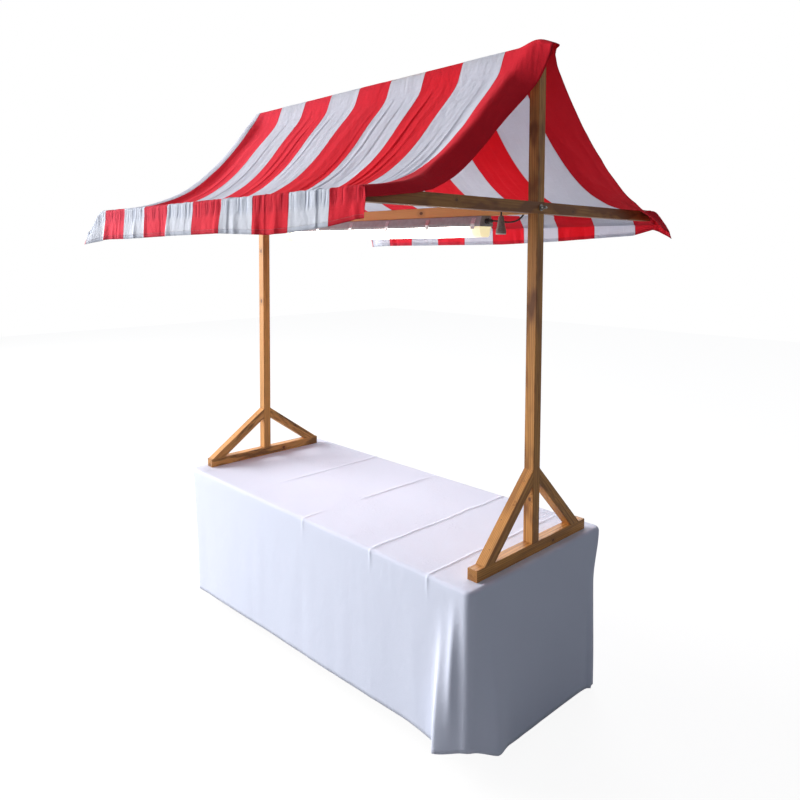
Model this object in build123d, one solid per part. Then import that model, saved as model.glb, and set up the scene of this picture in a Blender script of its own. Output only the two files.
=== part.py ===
"""A wooden market stall: a striped canopy on a planed timber frame that stands on a clothed folding table.

Units are millimetres, +Z is up, +X runs along the table towards its right end and the front faces -Y.
The origin lies on the floor under the middle of the table.
"""

from build123d import *
from math import atan2, cos, radians, sin, sqrt, tan
import os

# Clearances
SEAT_GAP = 0.3
CUT_OVERRUN = 20

# Folding table
TABLE_LENGTH = 2000
TABLE_DEPTH = 900
TABLE_HEIGHT = 740
TABLE_TOP_THICKNESS = 45
TABLE_CORNER_RADIUS = 30
TABLE_EDGE_RADIUS = 6
LEG_TUBE_DIAMETER = 28
LEG_INSET_ALONG = 290
LEG_INSET_ACROSS = 130
LEG_BEND_RADIUS = 60
STRETCHER_DIAMETER = 22
STRETCHER_HEIGHT = 220
STAY_DIAMETER = 18
STAY_REACH = 370
LEG_CAP_DIAMETER = 38
LEG_CAP_HEIGHT = 34
LEG_CAP_FLOOR = 10
LEG_CAP_EDGE = 2

# Table cloth
CLOTH_THICKNESS = 2
CLOTH_SLACK = 4
CLOTH_HEM_HEIGHT = 36
CLOTH_FRONT_HEM_LEFT = 66
CLOTH_FRONT_HEM_RIGHT = 127

# Timber frame
TIMBER = 46
EASED_EDGE = 2
POST_END_INSET = 20
POST_LENGTH = 1964
FOOT_RAIL_LENGTH = 765
RIGHT_BRACE_HEAD = 306
RIGHT_BRACE_INSET = 46
LEFT_BRACE_HEAD = 239
LEFT_BRACE_INSET = 6
ARM_LENGTH = 1930
ARM_BELOW_POST_TOP = 574
RIDGE_EDGE_RADIUS = 12
EAVE_POLE_DIAMETER = 16
EAVE_POLE_INSET = 20

# Clamping bolts with wing nuts
BOLT_DIAMETER = 10
BOLT_IN_BEAM = 60
BOLT_STICK_OUT = 26
BOLT_CLEARANCE = 0.2
NUT_FLANGE_DIAMETER = 26
NUT_FLANGE_THICKNESS = 3
NUT_HUB_DIAMETER = 18
NUT_HUB_TIP_DIAMETER = 14
NUT_HUB_HEIGHT = 12
WING_SPAN = 46
WING_HEIGHT = 20
WING_THICKNESS = 4
WING_ROOT_WIDTH = 9

# Canopy
CANOPY_THICKNESS = 2
RIDGE_FALL_ANGLE = 58
SLOPE_POINT_SHARES = (0, 0.1, 0.22, 0.36, 0.52, 0.7, 0.86, 1)
VALANCE_DEPTH = 138
LEFT_TURN_PAST_POST = 20
LEFT_SKIRT_REACH = 80
LEFT_SKIRT_DROP = 165
RIGHT_TURN_PAST_POST = 5
RIGHT_SKIRT_REACH = 60
RIGHT_SKIRT_DROP = 90
RIGHT_TAB_DEPTH = 36

# Tube light
LIGHT_LEFT_GAP = 248
LIGHT_RIGHT_GAP = 225
HOUSING_RIM_WIDTH = 92
HOUSING_TOP_WIDTH = 64
HOUSING_HEIGHT = 45
HOUSING_RIM_HEIGHT = 12
HOUSING_CORNER_RADIUS = 8
DIFFUSER_WIDTH = 84
DIFFUSER_FACE_WIDTH = 54
DIFFUSER_HEIGHT = 45
DIFFUSER_CORNER_RADIUS = 14
DIFFUSER_END_SETBACK = 6
CLIPS_PER_SIDE = 6
CLIP_END_INSET = 38
CLIP_WIDTH = 22
CLIP_HEIGHT = 15
CLIP_THICKNESS = 1.5
CLIP_LIP = 3
CLIP_HOOK = 24
GLAND_DIAMETER = 24
GLAND_NECK_DIAMETER = 16
GLAND_LENGTH = 30
GLAND_FLANGE_LENGTH = 12
GLAND_HEIGHT_SHARE = 0.5

# Lead and its connector
LEAD_DIAMETER = 7
LEAD_RUN_SHARE = 0.45
LEAD_ROUTE = [
    (739, 0, 2109.5),
    (768, 0, 2109.5),
    (806, 10, 2101),
    (842, 34, 2106),
    (862, 53, 2131),
    (866, 57, 2163),
    (861, 45, 2191),
    (852, 16, 2204),
    (841, -20, 2203),
    (831, -47, 2183),
    (826, -54, 2151),
    (826, -54, 2126),
]
CONNECTOR_LENGTH = 76
CONNECTOR_FACE_DIAMETER = 42
CONNECTOR_WAIST_DIAMETER = 38
CONNECTOR_NECK_DIAMETER = 20
CONNECTOR_COLLAR_LENGTH = 20
CONNECTOR_RECESS_DIAMETER = 32
CONNECTOR_RECESS_DEPTH = 12

# Levels and places that follow from the sizes above
TABLE_UNDERSIDE = TABLE_HEIGHT - TABLE_TOP_THICKNESS
CLOTH_TOP = TABLE_HEIGHT + CLOTH_THICKNESS
RAIL_TOP = CLOTH_TOP + TIMBER
POST_TOP = RAIL_TOP + POST_LENGTH
HALF_TIMBER = TIMBER / 2
POST_OUTER_X = TABLE_LENGTH / 2 - POST_END_INSET
POST_X = POST_OUTER_X - HALF_TIMBER
POST_INNER_X = POST_OUTER_X - TIMBER
ARM_TOP = POST_TOP - ARM_BELOW_POST_TOP
ARM_MIDDLE = ARM_TOP - HALF_TIMBER
ARM_BOTTOM = ARM_TOP - TIMBER
ARM_END_Y = ARM_LENGTH / 2
EAVE_POLE_Y = ARM_END_Y - EAVE_POLE_INSET
EAVE_POLE_Z = ARM_TOP - EAVE_POLE_DIAMETER / 2
RIDGE_TOP = POST_TOP + TIMBER
LEFT_TURN = POST_OUTER_X + LEFT_TURN_PAST_POST
RIGHT_TURN = POST_OUTER_X + RIGHT_TURN_PAST_POST
EAVE_Y = ARM_END_Y + SEAT_GAP + CANOPY_THICKNESS
EAVE_Z = ARM_TOP + SEAT_GAP
HEM_Z = EAVE_Z - VALANCE_DEPTH
LEG_X = TABLE_LENGTH / 2 - LEG_INSET_ALONG
LEG_Y = TABLE_DEPTH / 2 - LEG_INSET_ACROSS
LEG_TOP_BAR_Z = TABLE_UNDERSIDE - LEG_TUBE_DIAMETER / 2
HOUSING_BOTTOM = ARM_BOTTOM - HOUSING_HEIGHT
DIFFUSER_BOTTOM = HOUSING_BOTTOM - DIFFUSER_HEIGHT
LIGHT_LEFT_END = LIGHT_LEFT_GAP - POST_INNER_X
LIGHT_RIGHT_END = POST_INNER_X - LIGHT_RIGHT_GAP
LIGHT_LENGTH = LIGHT_RIGHT_END - LIGHT_LEFT_END
CLIP_SPACING = (LIGHT_LENGTH - 2 * CLIP_END_INSET) / (CLIPS_PER_SIDE - 1)
GLAND_Z = HOUSING_BOTTOM + HOUSING_HEIGHT * GLAND_HEIGHT_SHARE

SIDES = {"left": -1, "right": 1}
FACES = {"front": -1, "back": 1}


def cross_plane(x):
    """The upright plane across the stall at x, drawn in Y and Z."""
    return Plane(origin=(x, 0, 0), x_dir=(0, 1, 0), z_dir=(1, 0, 0))


def timber_along(axis, length, centre):
    """A planed square timber with eased long edges."""
    sizes = {Axis.X: (length, TIMBER, TIMBER), Axis.Y: (TIMBER, length, TIMBER), Axis.Z: (TIMBER, TIMBER, length)}
    bar = Box(*sizes[axis])
    return Pos(*centre) * fillet(bar.edges().filter_by(axis), EASED_EDGE)


def rod_along_x(diameter, start, end, y, z):
    """A round rod from start to end along X."""
    return extrude(cross_plane(start) * Pos(y, z) * Circle(diameter / 2), end - start)


# Folding table


def table_top():
    slab = Box(TABLE_LENGTH, TABLE_DEPTH, TABLE_TOP_THICKNESS, align=(Align.CENTER, Align.CENTER, Align.MAX))
    slab = fillet(slab.edges().filter_by(Axis.Z), TABLE_CORNER_RADIUS)
    rims = slab.edges().group_by(Axis.Z)
    slab = fillet(rims[0] + rims[-1], TABLE_EDGE_RADIUS)
    return Pos(0, 0, TABLE_HEIGHT) * slab


def stretcher(x):
    """The round bar that ties the two legs of a frame together."""
    bar = Cylinder(STRETCHER_DIAMETER / 2, 2 * LEG_Y, rotation=(90, 0, 0))
    return Pos(x, 0, STRETCHER_HEIGHT) * bar


def leg_frame(side):
    """Two legs and their top bar bent from one tube, with a stretcher between them."""
    x = side * LEG_X
    corners = [
        (x, -LEG_Y, LEG_CAP_FLOOR),
        (x, -LEG_Y, LEG_TOP_BAR_Z),
        (x, LEG_Y, LEG_TOP_BAR_Z),
        (x, LEG_Y, LEG_CAP_FLOOR),
    ]
    path = FilletPolyline(*corners, radius=LEG_BEND_RADIUS)
    section = Plane(origin=path @ 0, z_dir=path % 0) * Circle(LEG_TUBE_DIAMETER / 2)
    return sweep(section, path) + stretcher(x)


def leg_caps(side):
    """Rubber caps on the two leg ends, flat on the floor."""
    cap = Cylinder(LEG_CAP_DIAMETER / 2, LEG_CAP_HEIGHT, align=(Align.CENTER, Align.CENTER, Align.MIN))
    cap = fillet(cap.edges().group_by(Axis.Z)[-1], LEG_CAP_EDGE)
    socket_radius = LEG_TUBE_DIAMETER / 2 + SEAT_GAP
    socket_depth = LEG_CAP_HEIGHT - LEG_CAP_FLOOR
    socket = Cylinder(socket_radius, socket_depth, align=(Align.CENTER, Align.CENTER, Align.MIN))
    cap = cap - Pos(0, 0, LEG_CAP_FLOOR) * socket
    return [Pos(side * LEG_X, face * LEG_Y, 0) * cap for face in FACES.values()]


def leg_stay(side):
    """The slanted stay from the stretcher up to the underside of the top."""
    rise = TABLE_UNDERSIDE - STRETCHER_HEIGHT
    length = sqrt(STAY_REACH**2 + rise**2) + CUT_OVERRUN
    foot = (side * LEG_X, 0, STRETCHER_HEIGHT)
    line = Plane(origin=foot, z_dir=(-side * STAY_REACH, 0, rise))
    rod = extrude(line * Circle(STAY_DIAMETER / 2), length)
    above = Box(TABLE_LENGTH, TABLE_DEPTH, TABLE_HEIGHT, align=(Align.CENTER, Align.CENTER, Align.MIN))
    return rod - Pos(0, 0, TABLE_UNDERSIDE) * above - stretcher(side * LEG_X)


# Table cloth

CLOTH_LENGTH = TABLE_LENGTH + 2 * (CLOTH_SLACK + CLOTH_THICKNESS)
CLOTH_DEPTH = TABLE_DEPTH + 2 * (CLOTH_SLACK + CLOTH_THICKNESS)
CLOTH_DROP = TABLE_HEIGHT - CLOTH_HEM_HEIGHT


def cloth_top():
    panel = Box(CLOTH_LENGTH, CLOTH_DEPTH, CLOTH_THICKNESS)
    return Pos(0, 0, TABLE_HEIGHT + CLOTH_THICKNESS / 2) * panel


def cloth_long_drop(face, left_hem, right_hem):
    """A long side of the cloth, which may hang lower at one end than at the other."""
    end = CLOTH_LENGTH / 2
    outline = Polyline((-end, left_hem), (end, right_hem), (end, TABLE_HEIGHT), (-end, TABLE_HEIGHT), close=True)
    outer = Plane(origin=(0, face * CLOTH_DEPTH / 2, 0), x_dir=(1, 0, 0), z_dir=(0, -1, 0))
    return extrude(outer * make_face(outline), CLOTH_THICKNESS, dir=(0, -face, 0))


def cloth_end_drop(side):
    panel = Box(CLOTH_THICKNESS, CLOTH_DEPTH - 2 * CLOTH_THICKNESS, CLOTH_DROP)
    x = side * (CLOTH_LENGTH - CLOTH_THICKNESS) / 2
    return Pos(x, 0, CLOTH_HEM_HEIGHT + CLOTH_DROP / 2) * panel


# Timber frame


def foot_rail(side):
    return timber_along(Axis.Y, FOOT_RAIL_LENGTH, (side * POST_X, 0, CLOTH_TOP + HALF_TIMBER))


def brace(side, face, head, inset):
    """A slanted brace, cut upright against the post and level on the rail."""
    toe = FOOT_RAIL_LENGTH / 2 - inset
    slant = atan2(head, toe - HALF_TIMBER)
    outline = Polyline(
        (face * toe, RAIL_TOP),
        (face * HALF_TIMBER, RAIL_TOP + head),
        (face * HALF_TIMBER, RAIL_TOP + head - TIMBER / cos(slant)),
        (face * (toe - TIMBER / sin(slant)), RAIL_TOP),
        close=True,
    )
    board = extrude(cross_plane(side * POST_X - HALF_TIMBER) * make_face(outline), TIMBER, dir=(1, 0, 0))
    slanted = board.edges().filter_by(lambda edge: abs((edge % 0).Y * (edge % 0).Z) > 0)
    return fillet(slanted, EASED_EDGE)


def clamp_hole(side):
    """The bore for a clamping bolt through arm and post into the tie beam."""
    inner = POST_INNER_X - BOLT_IN_BEAM
    bore = rod_along_x(BOLT_DIAMETER + 2 * BOLT_CLEARANCE, inner, POST_OUTER_X + CUT_OVERRUN, 0, ARM_MIDDLE)
    return bore if side > 0 else mirror(bore, about=Plane.YZ)


def lap_block(side, outward):
    """The half of the lap joint that one timber gives up to the other."""
    block = Box(HALF_TIMBER + CUT_OVERRUN, TIMBER, TIMBER, align=(Align.MIN, Align.CENTER, Align.CENTER))
    block = Pos(side * POST_X, 0, ARM_MIDDLE) * (Rot(0, 0, 0 if side * outward > 0 else 180) * block)
    return block


def post(side):
    """An upright with a half lap on its outer side for the cross arm."""
    upright = timber_along(Axis.Z, POST_LENGTH, (side * POST_X, 0, RAIL_TOP + POST_LENGTH / 2))
    return upright - lap_block(side, 1) - clamp_hole(side)


def cross_arm(side):
    """An arm across the stall, lapped onto the post, with a seat for an eave pole near each end."""
    arm = timber_along(Axis.Y, ARM_LENGTH, (side * POST_X, 0, ARM_MIDDLE))
    arm = arm - lap_block(side, -1) - clamp_hole(side)
    for face in FACES.values():
        seat = rod_along_x(
            EAVE_POLE_DIAMETER + 2 * SEAT_GAP,
            side * POST_X - TIMBER,
            side * POST_X + TIMBER,
            face * EAVE_POLE_Y,
            EAVE_POLE_Z,
        )
        arm = arm - seat
    return arm


def tie_beam():
    beam = timber_along(Axis.X, 2 * POST_INNER_X, (0, 0, ARM_MIDDLE))
    return beam - clamp_hole(1) - clamp_hole(-1)


def ridge_beam():
    """The beam on the post tops, with its upper edges rounded for the cloth."""
    bar = Box(2 * POST_OUTER_X, TIMBER, TIMBER)
    long_edges = bar.edges().filter_by(Axis.X).group_by(Axis.Z)
    bar = fillet(long_edges[-1], RIDGE_EDGE_RADIUS)
    return Pos(0, 0, POST_TOP + HALF_TIMBER) * bar


def eave_pole(face):
    """A slim pole in the fold of the canopy, lying in the seats of both arms."""
    return rod_along_x(EAVE_POLE_DIAMETER, -POST_OUTER_X, POST_OUTER_X, face * EAVE_POLE_Y, EAVE_POLE_Z)


def clamp_bolt(side):
    inner = POST_INNER_X - BOLT_IN_BEAM
    bolt = rod_along_x(BOLT_DIAMETER, inner, POST_OUTER_X + BOLT_STICK_OUT, 0, ARM_MIDDLE)
    return bolt if side > 0 else mirror(bolt, about=Plane.YZ)


def wing_nut(side):
    """A flanged nut with two raised wings."""
    flange = Cylinder(NUT_FLANGE_DIAMETER / 2, NUT_FLANGE_THICKNESS, align=(Align.CENTER, Align.CENTER, Align.MIN))
    hub = Cone(
        NUT_HUB_DIAMETER / 2,
        NUT_HUB_TIP_DIAMETER / 2,
        NUT_HUB_HEIGHT,
        align=(Align.CENTER, Align.CENTER, Align.MIN),
    )
    nut = flange + Pos(0, 0, NUT_FLANGE_THICKNESS) * hub
    for turn in (1, -1):
        wing = Polyline(
            (0, NUT_FLANGE_THICKNESS),
            (turn * WING_ROOT_WIDTH, NUT_FLANGE_THICKNESS),
            (turn * WING_SPAN / 2, WING_HEIGHT - WING_ROOT_WIDTH / 2),
            (turn * (WING_SPAN / 2 - WING_ROOT_WIDTH), WING_HEIGHT),
            (0, NUT_FLANGE_THICKNESS + NUT_HUB_HEIGHT / 2),
            close=True,
        )
        blade = extrude(Plane.XZ * make_face(wing), WING_THICKNESS / 2, both=True)
        nut = nut + blade
    bore = Cylinder(BOLT_DIAMETER / 2 + BOLT_CLEARANCE, WING_HEIGHT + CUT_OVERRUN)
    nut = nut - bore
    outward = Plane(origin=(side * POST_OUTER_X, 0, ARM_MIDDLE), x_dir=(0, 1, 0), z_dir=(side, 0, 0))
    return outward * nut


# Canopy


def slope_edges(face, lift):
    """One line of the canopy's cross section: level on the ridge, round its shoulder, sagging to the eave."""
    level = RIDGE_TOP + SEAT_GAP + lift
    bend = RIDGE_EDGE_RADIUS + SEAT_GAP
    bend_y = HALF_TIMBER - RIDGE_EDGE_RADIUS
    bend_z = RIDGE_TOP - RIDGE_EDGE_RADIUS
    fall = radians(RIDGE_FALL_ANGLE)
    start_y = bend_y + bend * sin(fall)
    start_z = bend_z + bend * cos(fall)
    reach = EAVE_Y - start_y
    drop = start_z - EAVE_Z
    power = tan(fall) * reach / drop
    points = []
    for share in SLOPE_POINT_SHARES:
        steep = tan(fall) * (1 - share) ** (power - 1)
        stretch = sqrt(1 + steep**2)
        y = start_y + reach * share + lift * steep / stretch
        z = EAVE_Z + drop * (1 - share) ** power + lift / stretch
        points.append((face * y, z))
    ends = [(face * cos(fall), -sin(fall)), (face, 0)]
    half = fall / 2
    shoulder = ThreePointArc(
        (face * bend_y, level),
        (face * (bend_y + (bend + lift) * sin(half)), bend_z + (bend + lift) * cos(half)),
        points[0],
    )
    return [Line((0, level), (face * bend_y, level)), shoulder, Spline(*points, tangents=ends)]


def slope_section(face, x, sink=0):
    """The thin cross section of one slope at x."""
    under = slope_edges(face, 0)
    over = slope_edges(face, CANOPY_THICKNESS)
    at_ridge = Line(under[0] @ 0, over[0] @ 0)
    at_eave = Line(under[-1] @ 1, over[-1] @ 1)
    outline = make_face([*under, at_eave, *over, at_ridge])
    return Pos(0, 0, -sink) * (cross_plane(x) * outline)


def canopy_slope(face):
    return extrude(slope_section(face, -LEFT_TURN), LEFT_TURN + RIGHT_TURN, dir=(1, 0, 0))


def gable_skirt(side, face):
    """The end of a slope that hangs down past the arm."""
    turn = -LEFT_TURN if side < 0 else RIGHT_TURN
    reach = LEFT_SKIRT_REACH if side < 0 else RIGHT_SKIRT_REACH
    drop = LEFT_SKIRT_DROP if side < 0 else RIGHT_SKIRT_DROP
    ends = [slope_section(face, turn), slope_section(face, turn + side * reach, drop)]
    return loft(ends, ruled=True)


def valance(face):
    """The upright strip below the eave, with a tab that follows each drooping end."""
    fold = EAVE_Z - SEAT_GAP
    outline = Polyline(
        (-LEFT_TURN, fold),
        (RIGHT_TURN, fold),
        (RIGHT_TURN + RIGHT_SKIRT_REACH, fold - RIGHT_SKIRT_DROP),
        (RIGHT_TURN + RIGHT_SKIRT_REACH, fold - RIGHT_SKIRT_DROP - RIGHT_TAB_DEPTH),
        (RIGHT_TURN, HEM_Z),
        (-LEFT_TURN, HEM_Z),
        (-LEFT_TURN - LEFT_SKIRT_REACH, fold - LEFT_SKIRT_DROP),
        close=True,
    )
    inner = face * (EAVE_Y - CANOPY_THICKNESS)
    plane = Plane(origin=(0, inner, 0), x_dir=(1, 0, 0), z_dir=(0, -1, 0))
    return extrude(plane * make_face(outline), CANOPY_THICKNESS, dir=(0, face, 0))


# Tube light


def light_housing():
    """The grey tray of the light, wider at the rim that takes the diffuser."""
    half_rim = HOUSING_RIM_WIDTH / 2
    half_top = HOUSING_TOP_WIDTH / 2
    outline = Polyline(
        (-half_rim, HOUSING_BOTTOM),
        (half_rim, HOUSING_BOTTOM),
        (half_rim, HOUSING_BOTTOM + HOUSING_RIM_HEIGHT),
        (half_top, ARM_BOTTOM),
        (-half_top, ARM_BOTTOM),
        (-half_rim, HOUSING_BOTTOM + HOUSING_RIM_HEIGHT),
        close=True,
    )
    tray = extrude(cross_plane(LIGHT_LEFT_END) * make_face(outline), LIGHT_LENGTH)
    return fillet(tray.edges().filter_by(Axis.X).group_by(Axis.Z)[-1], HOUSING_CORNER_RADIUS)


def light_diffuser():
    """The opal trough under the tray, with a rounded lower face."""
    half_top = DIFFUSER_WIDTH / 2
    half_face = DIFFUSER_FACE_WIDTH / 2
    outline = Polyline(
        (-half_top, HOUSING_BOTTOM),
        (half_top, HOUSING_BOTTOM),
        (half_face, DIFFUSER_BOTTOM),
        (-half_face, DIFFUSER_BOTTOM),
        close=True,
    )
    start = LIGHT_LEFT_END + DIFFUSER_END_SETBACK
    length = LIGHT_LENGTH - 2 * DIFFUSER_END_SETBACK
    trough = extrude(cross_plane(start) * make_face(outline), length)
    return fillet(trough.edges().filter_by(Axis.X).group_by(Axis.Z)[0], DIFFUSER_CORNER_RADIUS)


def light_clip(face, x):
    """A spring clip that hooks the diffuser's edge up to the rim of the tray."""
    rim = HOUSING_RIM_WIDTH / 2
    low = HOUSING_BOTTOM - (CLIP_HEIGHT - HOUSING_RIM_HEIGHT)
    high = HOUSING_BOTTOM + HOUSING_RIM_HEIGHT
    lean = (rim - HOUSING_TOP_WIDTH / 2) / (HOUSING_HEIGHT - HOUSING_RIM_HEIGHT)
    outline = Polyline(
        (face * rim, low),
        (face * rim, high),
        (face * (rim - lean * CLIP_HOOK), high + CLIP_HOOK),
        (face * (rim - lean * CLIP_HOOK + CLIP_THICKNESS), high + CLIP_HOOK),
        (face * (rim + CLIP_THICKNESS), high),
        (face * (rim + CLIP_THICKNESS), low - CLIP_LIP),
        (face * (rim + CLIP_THICKNESS + CLIP_LIP), low - 2 * CLIP_LIP),
        (face * (rim + CLIP_LIP), low - 2 * CLIP_LIP - CLIP_THICKNESS),
        (face * rim, low - CLIP_LIP),
        close=True,
    )
    return extrude(cross_plane(x - CLIP_WIDTH / 2) * make_face(outline), CLIP_WIDTH, dir=(1, 0, 0))


def light_clips():
    first = LIGHT_LEFT_END + CLIP_END_INSET
    places = [first + CLIP_SPACING * index for index in range(CLIPS_PER_SIDE)]
    return [light_clip(face, x) for face in FACES.values() for x in places]


def light_gland():
    """The screwed gland where the lead leaves the light."""
    flange = rod_along_x(GLAND_DIAMETER, LIGHT_RIGHT_END, LIGHT_RIGHT_END + GLAND_FLANGE_LENGTH, 0, GLAND_Z)
    end = LIGHT_RIGHT_END + GLAND_LENGTH
    neck_start = LIGHT_RIGHT_END + GLAND_FLANGE_LENGTH
    neck = rod_along_x(GLAND_NECK_DIAMETER, neck_start, end, 0, GLAND_Z)
    return flange + neck


# Lead and its connector


def lead_radii(route):
    """As large an arc at each corner as its two runs allow."""
    radii = []
    for before, corner, after in zip(route, route[1:], route[2:]):
        arriving = Vector(*corner) - Vector(*before)
        leaving = Vector(*after) - Vector(*corner)
        turn = radians(arriving.get_angle(leaving))
        run = min(arriving.length, leaving.length)
        radii.append(LEAD_RUN_SHARE * run / tan(turn / 2))
    return radii


def lamp_lead():
    """The black lead from the gland over the tie beam to the connector."""
    radii = lead_radii(LEAD_ROUTE)
    print("lead radii", [round(radius, 1) for radius in radii])
    path = FilletPolyline(*LEAD_ROUTE, radius=radii)
    section = Plane(origin=path @ 0, z_dir=path % 0) * Circle(LEAD_DIAMETER / 2)
    lead = sweep(section, path)
    print("lead length", round(path.length, 1), "volume over section", round(lead.volume / section.area, 1))
    return lead


def lead_connector():
    """The tapered connector that hangs on the lead, with a round recess in its face."""
    x, y, top = LEAD_ROUTE[-1]
    bottom = top - CONNECTOR_LENGTH
    outline = Polyline(
        (0, bottom),
        (CONNECTOR_FACE_DIAMETER / 2, bottom),
        (CONNECTOR_FACE_DIAMETER / 2, bottom + CONNECTOR_COLLAR_LENGTH),
        (CONNECTOR_WAIST_DIAMETER / 2, bottom + CONNECTOR_COLLAR_LENGTH),
        (CONNECTOR_NECK_DIAMETER / 2, top),
        (0, top),
        close=True,
    )
    body = revolve(Plane.XZ * make_face(outline), Axis.Z)
    recess = Cylinder(
        CONNECTOR_RECESS_DIAMETER / 2,
        CONNECTOR_RECESS_DEPTH,
        align=(Align.CENTER, Align.CENTER, Align.MIN),
    )
    return Pos(x, y, 0) * (body - Pos(0, 0, bottom) * recess)


def build_stall():
    nodes = {"table_top": table_top(), "cloth_top": cloth_top()}
    for name, side in SIDES.items():
        nodes[f"{name}_leg_frame"] = leg_frame(side)
        nodes[f"{name}_leg_caps"] = leg_caps(side)
        nodes[f"{name}_leg_stay"] = leg_stay(side)
        nodes[f"cloth_{name}_drop"] = cloth_end_drop(side)
        nodes[f"{name}_foot_rail"] = foot_rail(side)
        nodes[f"{name}_post"] = post(side)
        nodes[f"{name}_cross_arm"] = cross_arm(side)
        nodes[f"{name}_clamp_bolt"] = clamp_bolt(side)
        nodes[f"{name}_wing_nut"] = wing_nut(side)
    for name, face in FACES.items():
        nodes[f"left_{name}_brace"] = brace(-1, face, LEFT_BRACE_HEAD, LEFT_BRACE_INSET)
        nodes[f"right_{name}_brace"] = brace(1, face, RIGHT_BRACE_HEAD, RIGHT_BRACE_INSET)
        nodes[f"{name}_eave_pole"] = eave_pole(face)
        nodes[f"canopy_{name}_slope"] = canopy_slope(face)
        nodes[f"canopy_{name}_valance"] = valance(face)
        nodes[f"canopy_left_{name}_skirt"] = gable_skirt(-1, face)
        nodes[f"canopy_right_{name}_skirt"] = gable_skirt(1, face)
    nodes["cloth_front_drop"] = cloth_long_drop(-1, CLOTH_FRONT_HEM_LEFT, CLOTH_FRONT_HEM_RIGHT)
    nodes["cloth_back_drop"] = cloth_long_drop(1, CLOTH_HEM_HEIGHT, CLOTH_HEM_HEIGHT)
    nodes["tie_beam"] = tie_beam()
    nodes["ridge_beam"] = ridge_beam()
    nodes["light_housing"] = light_housing()
    nodes["light_diffuser"] = light_diffuser()
    nodes["light_clips"] = light_clips()
    nodes["light_gland"] = light_gland()
    nodes["lamp_lead"] = lamp_lead()
    nodes["lead_connector"] = lead_connector()
    return nodes


def main():
    os.makedirs("parts", exist_ok=True)
    for name, shape in build_stall().items():
        solids = Compound(children=shape) if isinstance(shape, list) else shape
        export_step(solids, f"parts/{name}.step")


main()
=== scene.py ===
"""A wooden market stall: striped canopy, planed pine frame and tube light on a table under a long cloth.

Lengths are metres, +Z is up, +X runs along the table towards its right end and the front faces -Y.
"""

from math import cos, pi, radians, sin, tan

import bmesh
import bpy
import numpy as np
from mathutils import Matrix, Vector


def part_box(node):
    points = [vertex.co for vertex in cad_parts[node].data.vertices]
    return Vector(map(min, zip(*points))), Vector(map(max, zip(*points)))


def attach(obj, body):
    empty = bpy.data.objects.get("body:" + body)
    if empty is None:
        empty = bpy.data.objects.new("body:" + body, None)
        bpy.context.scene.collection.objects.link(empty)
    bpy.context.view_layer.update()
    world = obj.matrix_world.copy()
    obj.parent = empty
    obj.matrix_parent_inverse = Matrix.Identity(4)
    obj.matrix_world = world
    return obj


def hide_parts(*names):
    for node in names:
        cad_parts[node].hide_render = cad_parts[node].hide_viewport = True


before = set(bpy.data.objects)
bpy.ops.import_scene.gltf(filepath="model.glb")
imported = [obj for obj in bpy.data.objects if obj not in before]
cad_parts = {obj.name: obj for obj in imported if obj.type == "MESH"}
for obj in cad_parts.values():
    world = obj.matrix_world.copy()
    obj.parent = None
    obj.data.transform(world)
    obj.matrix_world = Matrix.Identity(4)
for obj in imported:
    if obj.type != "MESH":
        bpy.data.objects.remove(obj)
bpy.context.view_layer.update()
BODY = "root"

# Camera
CAMERA_PLACE = Vector((2.5672, -2.408, 1.9774))
CAMERA_YAW = radians(-46.7588)
CAMERA_PITCH = radians(-3.249)
CAMERA_ROLL = radians(0.1405)
CAMERA_SENSOR = 36
CAMERA_LENS = 31.458
CAMERA_SHIFT_X = 0.0328
CAMERA_SHIFT_Y = -0.1356

# Light on the stall
KEY_PLACE = Vector((-9.0, -5.2, 4.2))
KEY_TARGET = Vector((0, 0, 1.2))
KEY_SIZE = 8.0
KEY_POWER = 2120
KEY_COLOUR = (1.0, 0.985, 0.97)
BACK_FROM = Vector((-0.55, 0.77, 0.30))
BACK_STRENGTH = 1.7
BACK_ANGLE = radians(40)
BACK_COLOUR = (0.96, 0.985, 1.0)
SKY_COLOUR = (0.84, 0.89, 1.0, 1.0)
SKY_STRENGTH = 0.20
FLOOR_SIZE = 30
FLOOR_SHADE = (0.14, 0.14, 0.143, 1.0)
FLOOR_BOUNCE = (0.38, 0.38, 0.385, 1.0)
FLOOR_GLOW = 0.92

# Lead from the light to its connector; the top of its loop is up to 14 mm lower than the solid's
LEAD_DIAMETER = 0.007
LEAD_ROUTE = [
    (0.739, 0.0, 2.1095),
    (0.768, 0.0, 2.1095),
    (0.806, 0.010, 2.101),
    (0.842, 0.034, 2.106),
    (0.862, 0.053, 2.131),
    (0.866, 0.057, 2.158),
    (0.861, 0.045, 2.177),
    (0.852, 0.016, 2.190),
    (0.841, -0.020, 2.190),
    (0.831, -0.047, 2.173),
    (0.826, -0.054, 2.148),
    (0.826, -0.054, 2.126),
]
CONNECTOR_SEGMENTS = 40
CONNECTOR_RIBS = 6
CONNECTOR_RIB_DEPTH = 0.0012

# Canopy
CANOPY_LEFT = -1.183
CANOPY_RIGHT = 1.045
CANOPY_COLUMNS = 205
CANOPY_THICKNESS = 0.0012
CANOPY_FALL = radians(58)
CANOPY_CLEAR = 0.0013
RIDGE_ROUNDING = 0.012
EAVE_PROUD = 0.004
EAVE_BEND = 0.005
VALANCE_DEPTH = 0.138
POCKET_DEPTH = 0.068
HEM_DEPTH = 0.018
HEM_BLUR = 0.0006
EAVE_BLUR = 0.004
STRIPE_START = -0.955
STRIPE_WIDTH = 0.2209
STRIPE_LAST = 8.99

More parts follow.
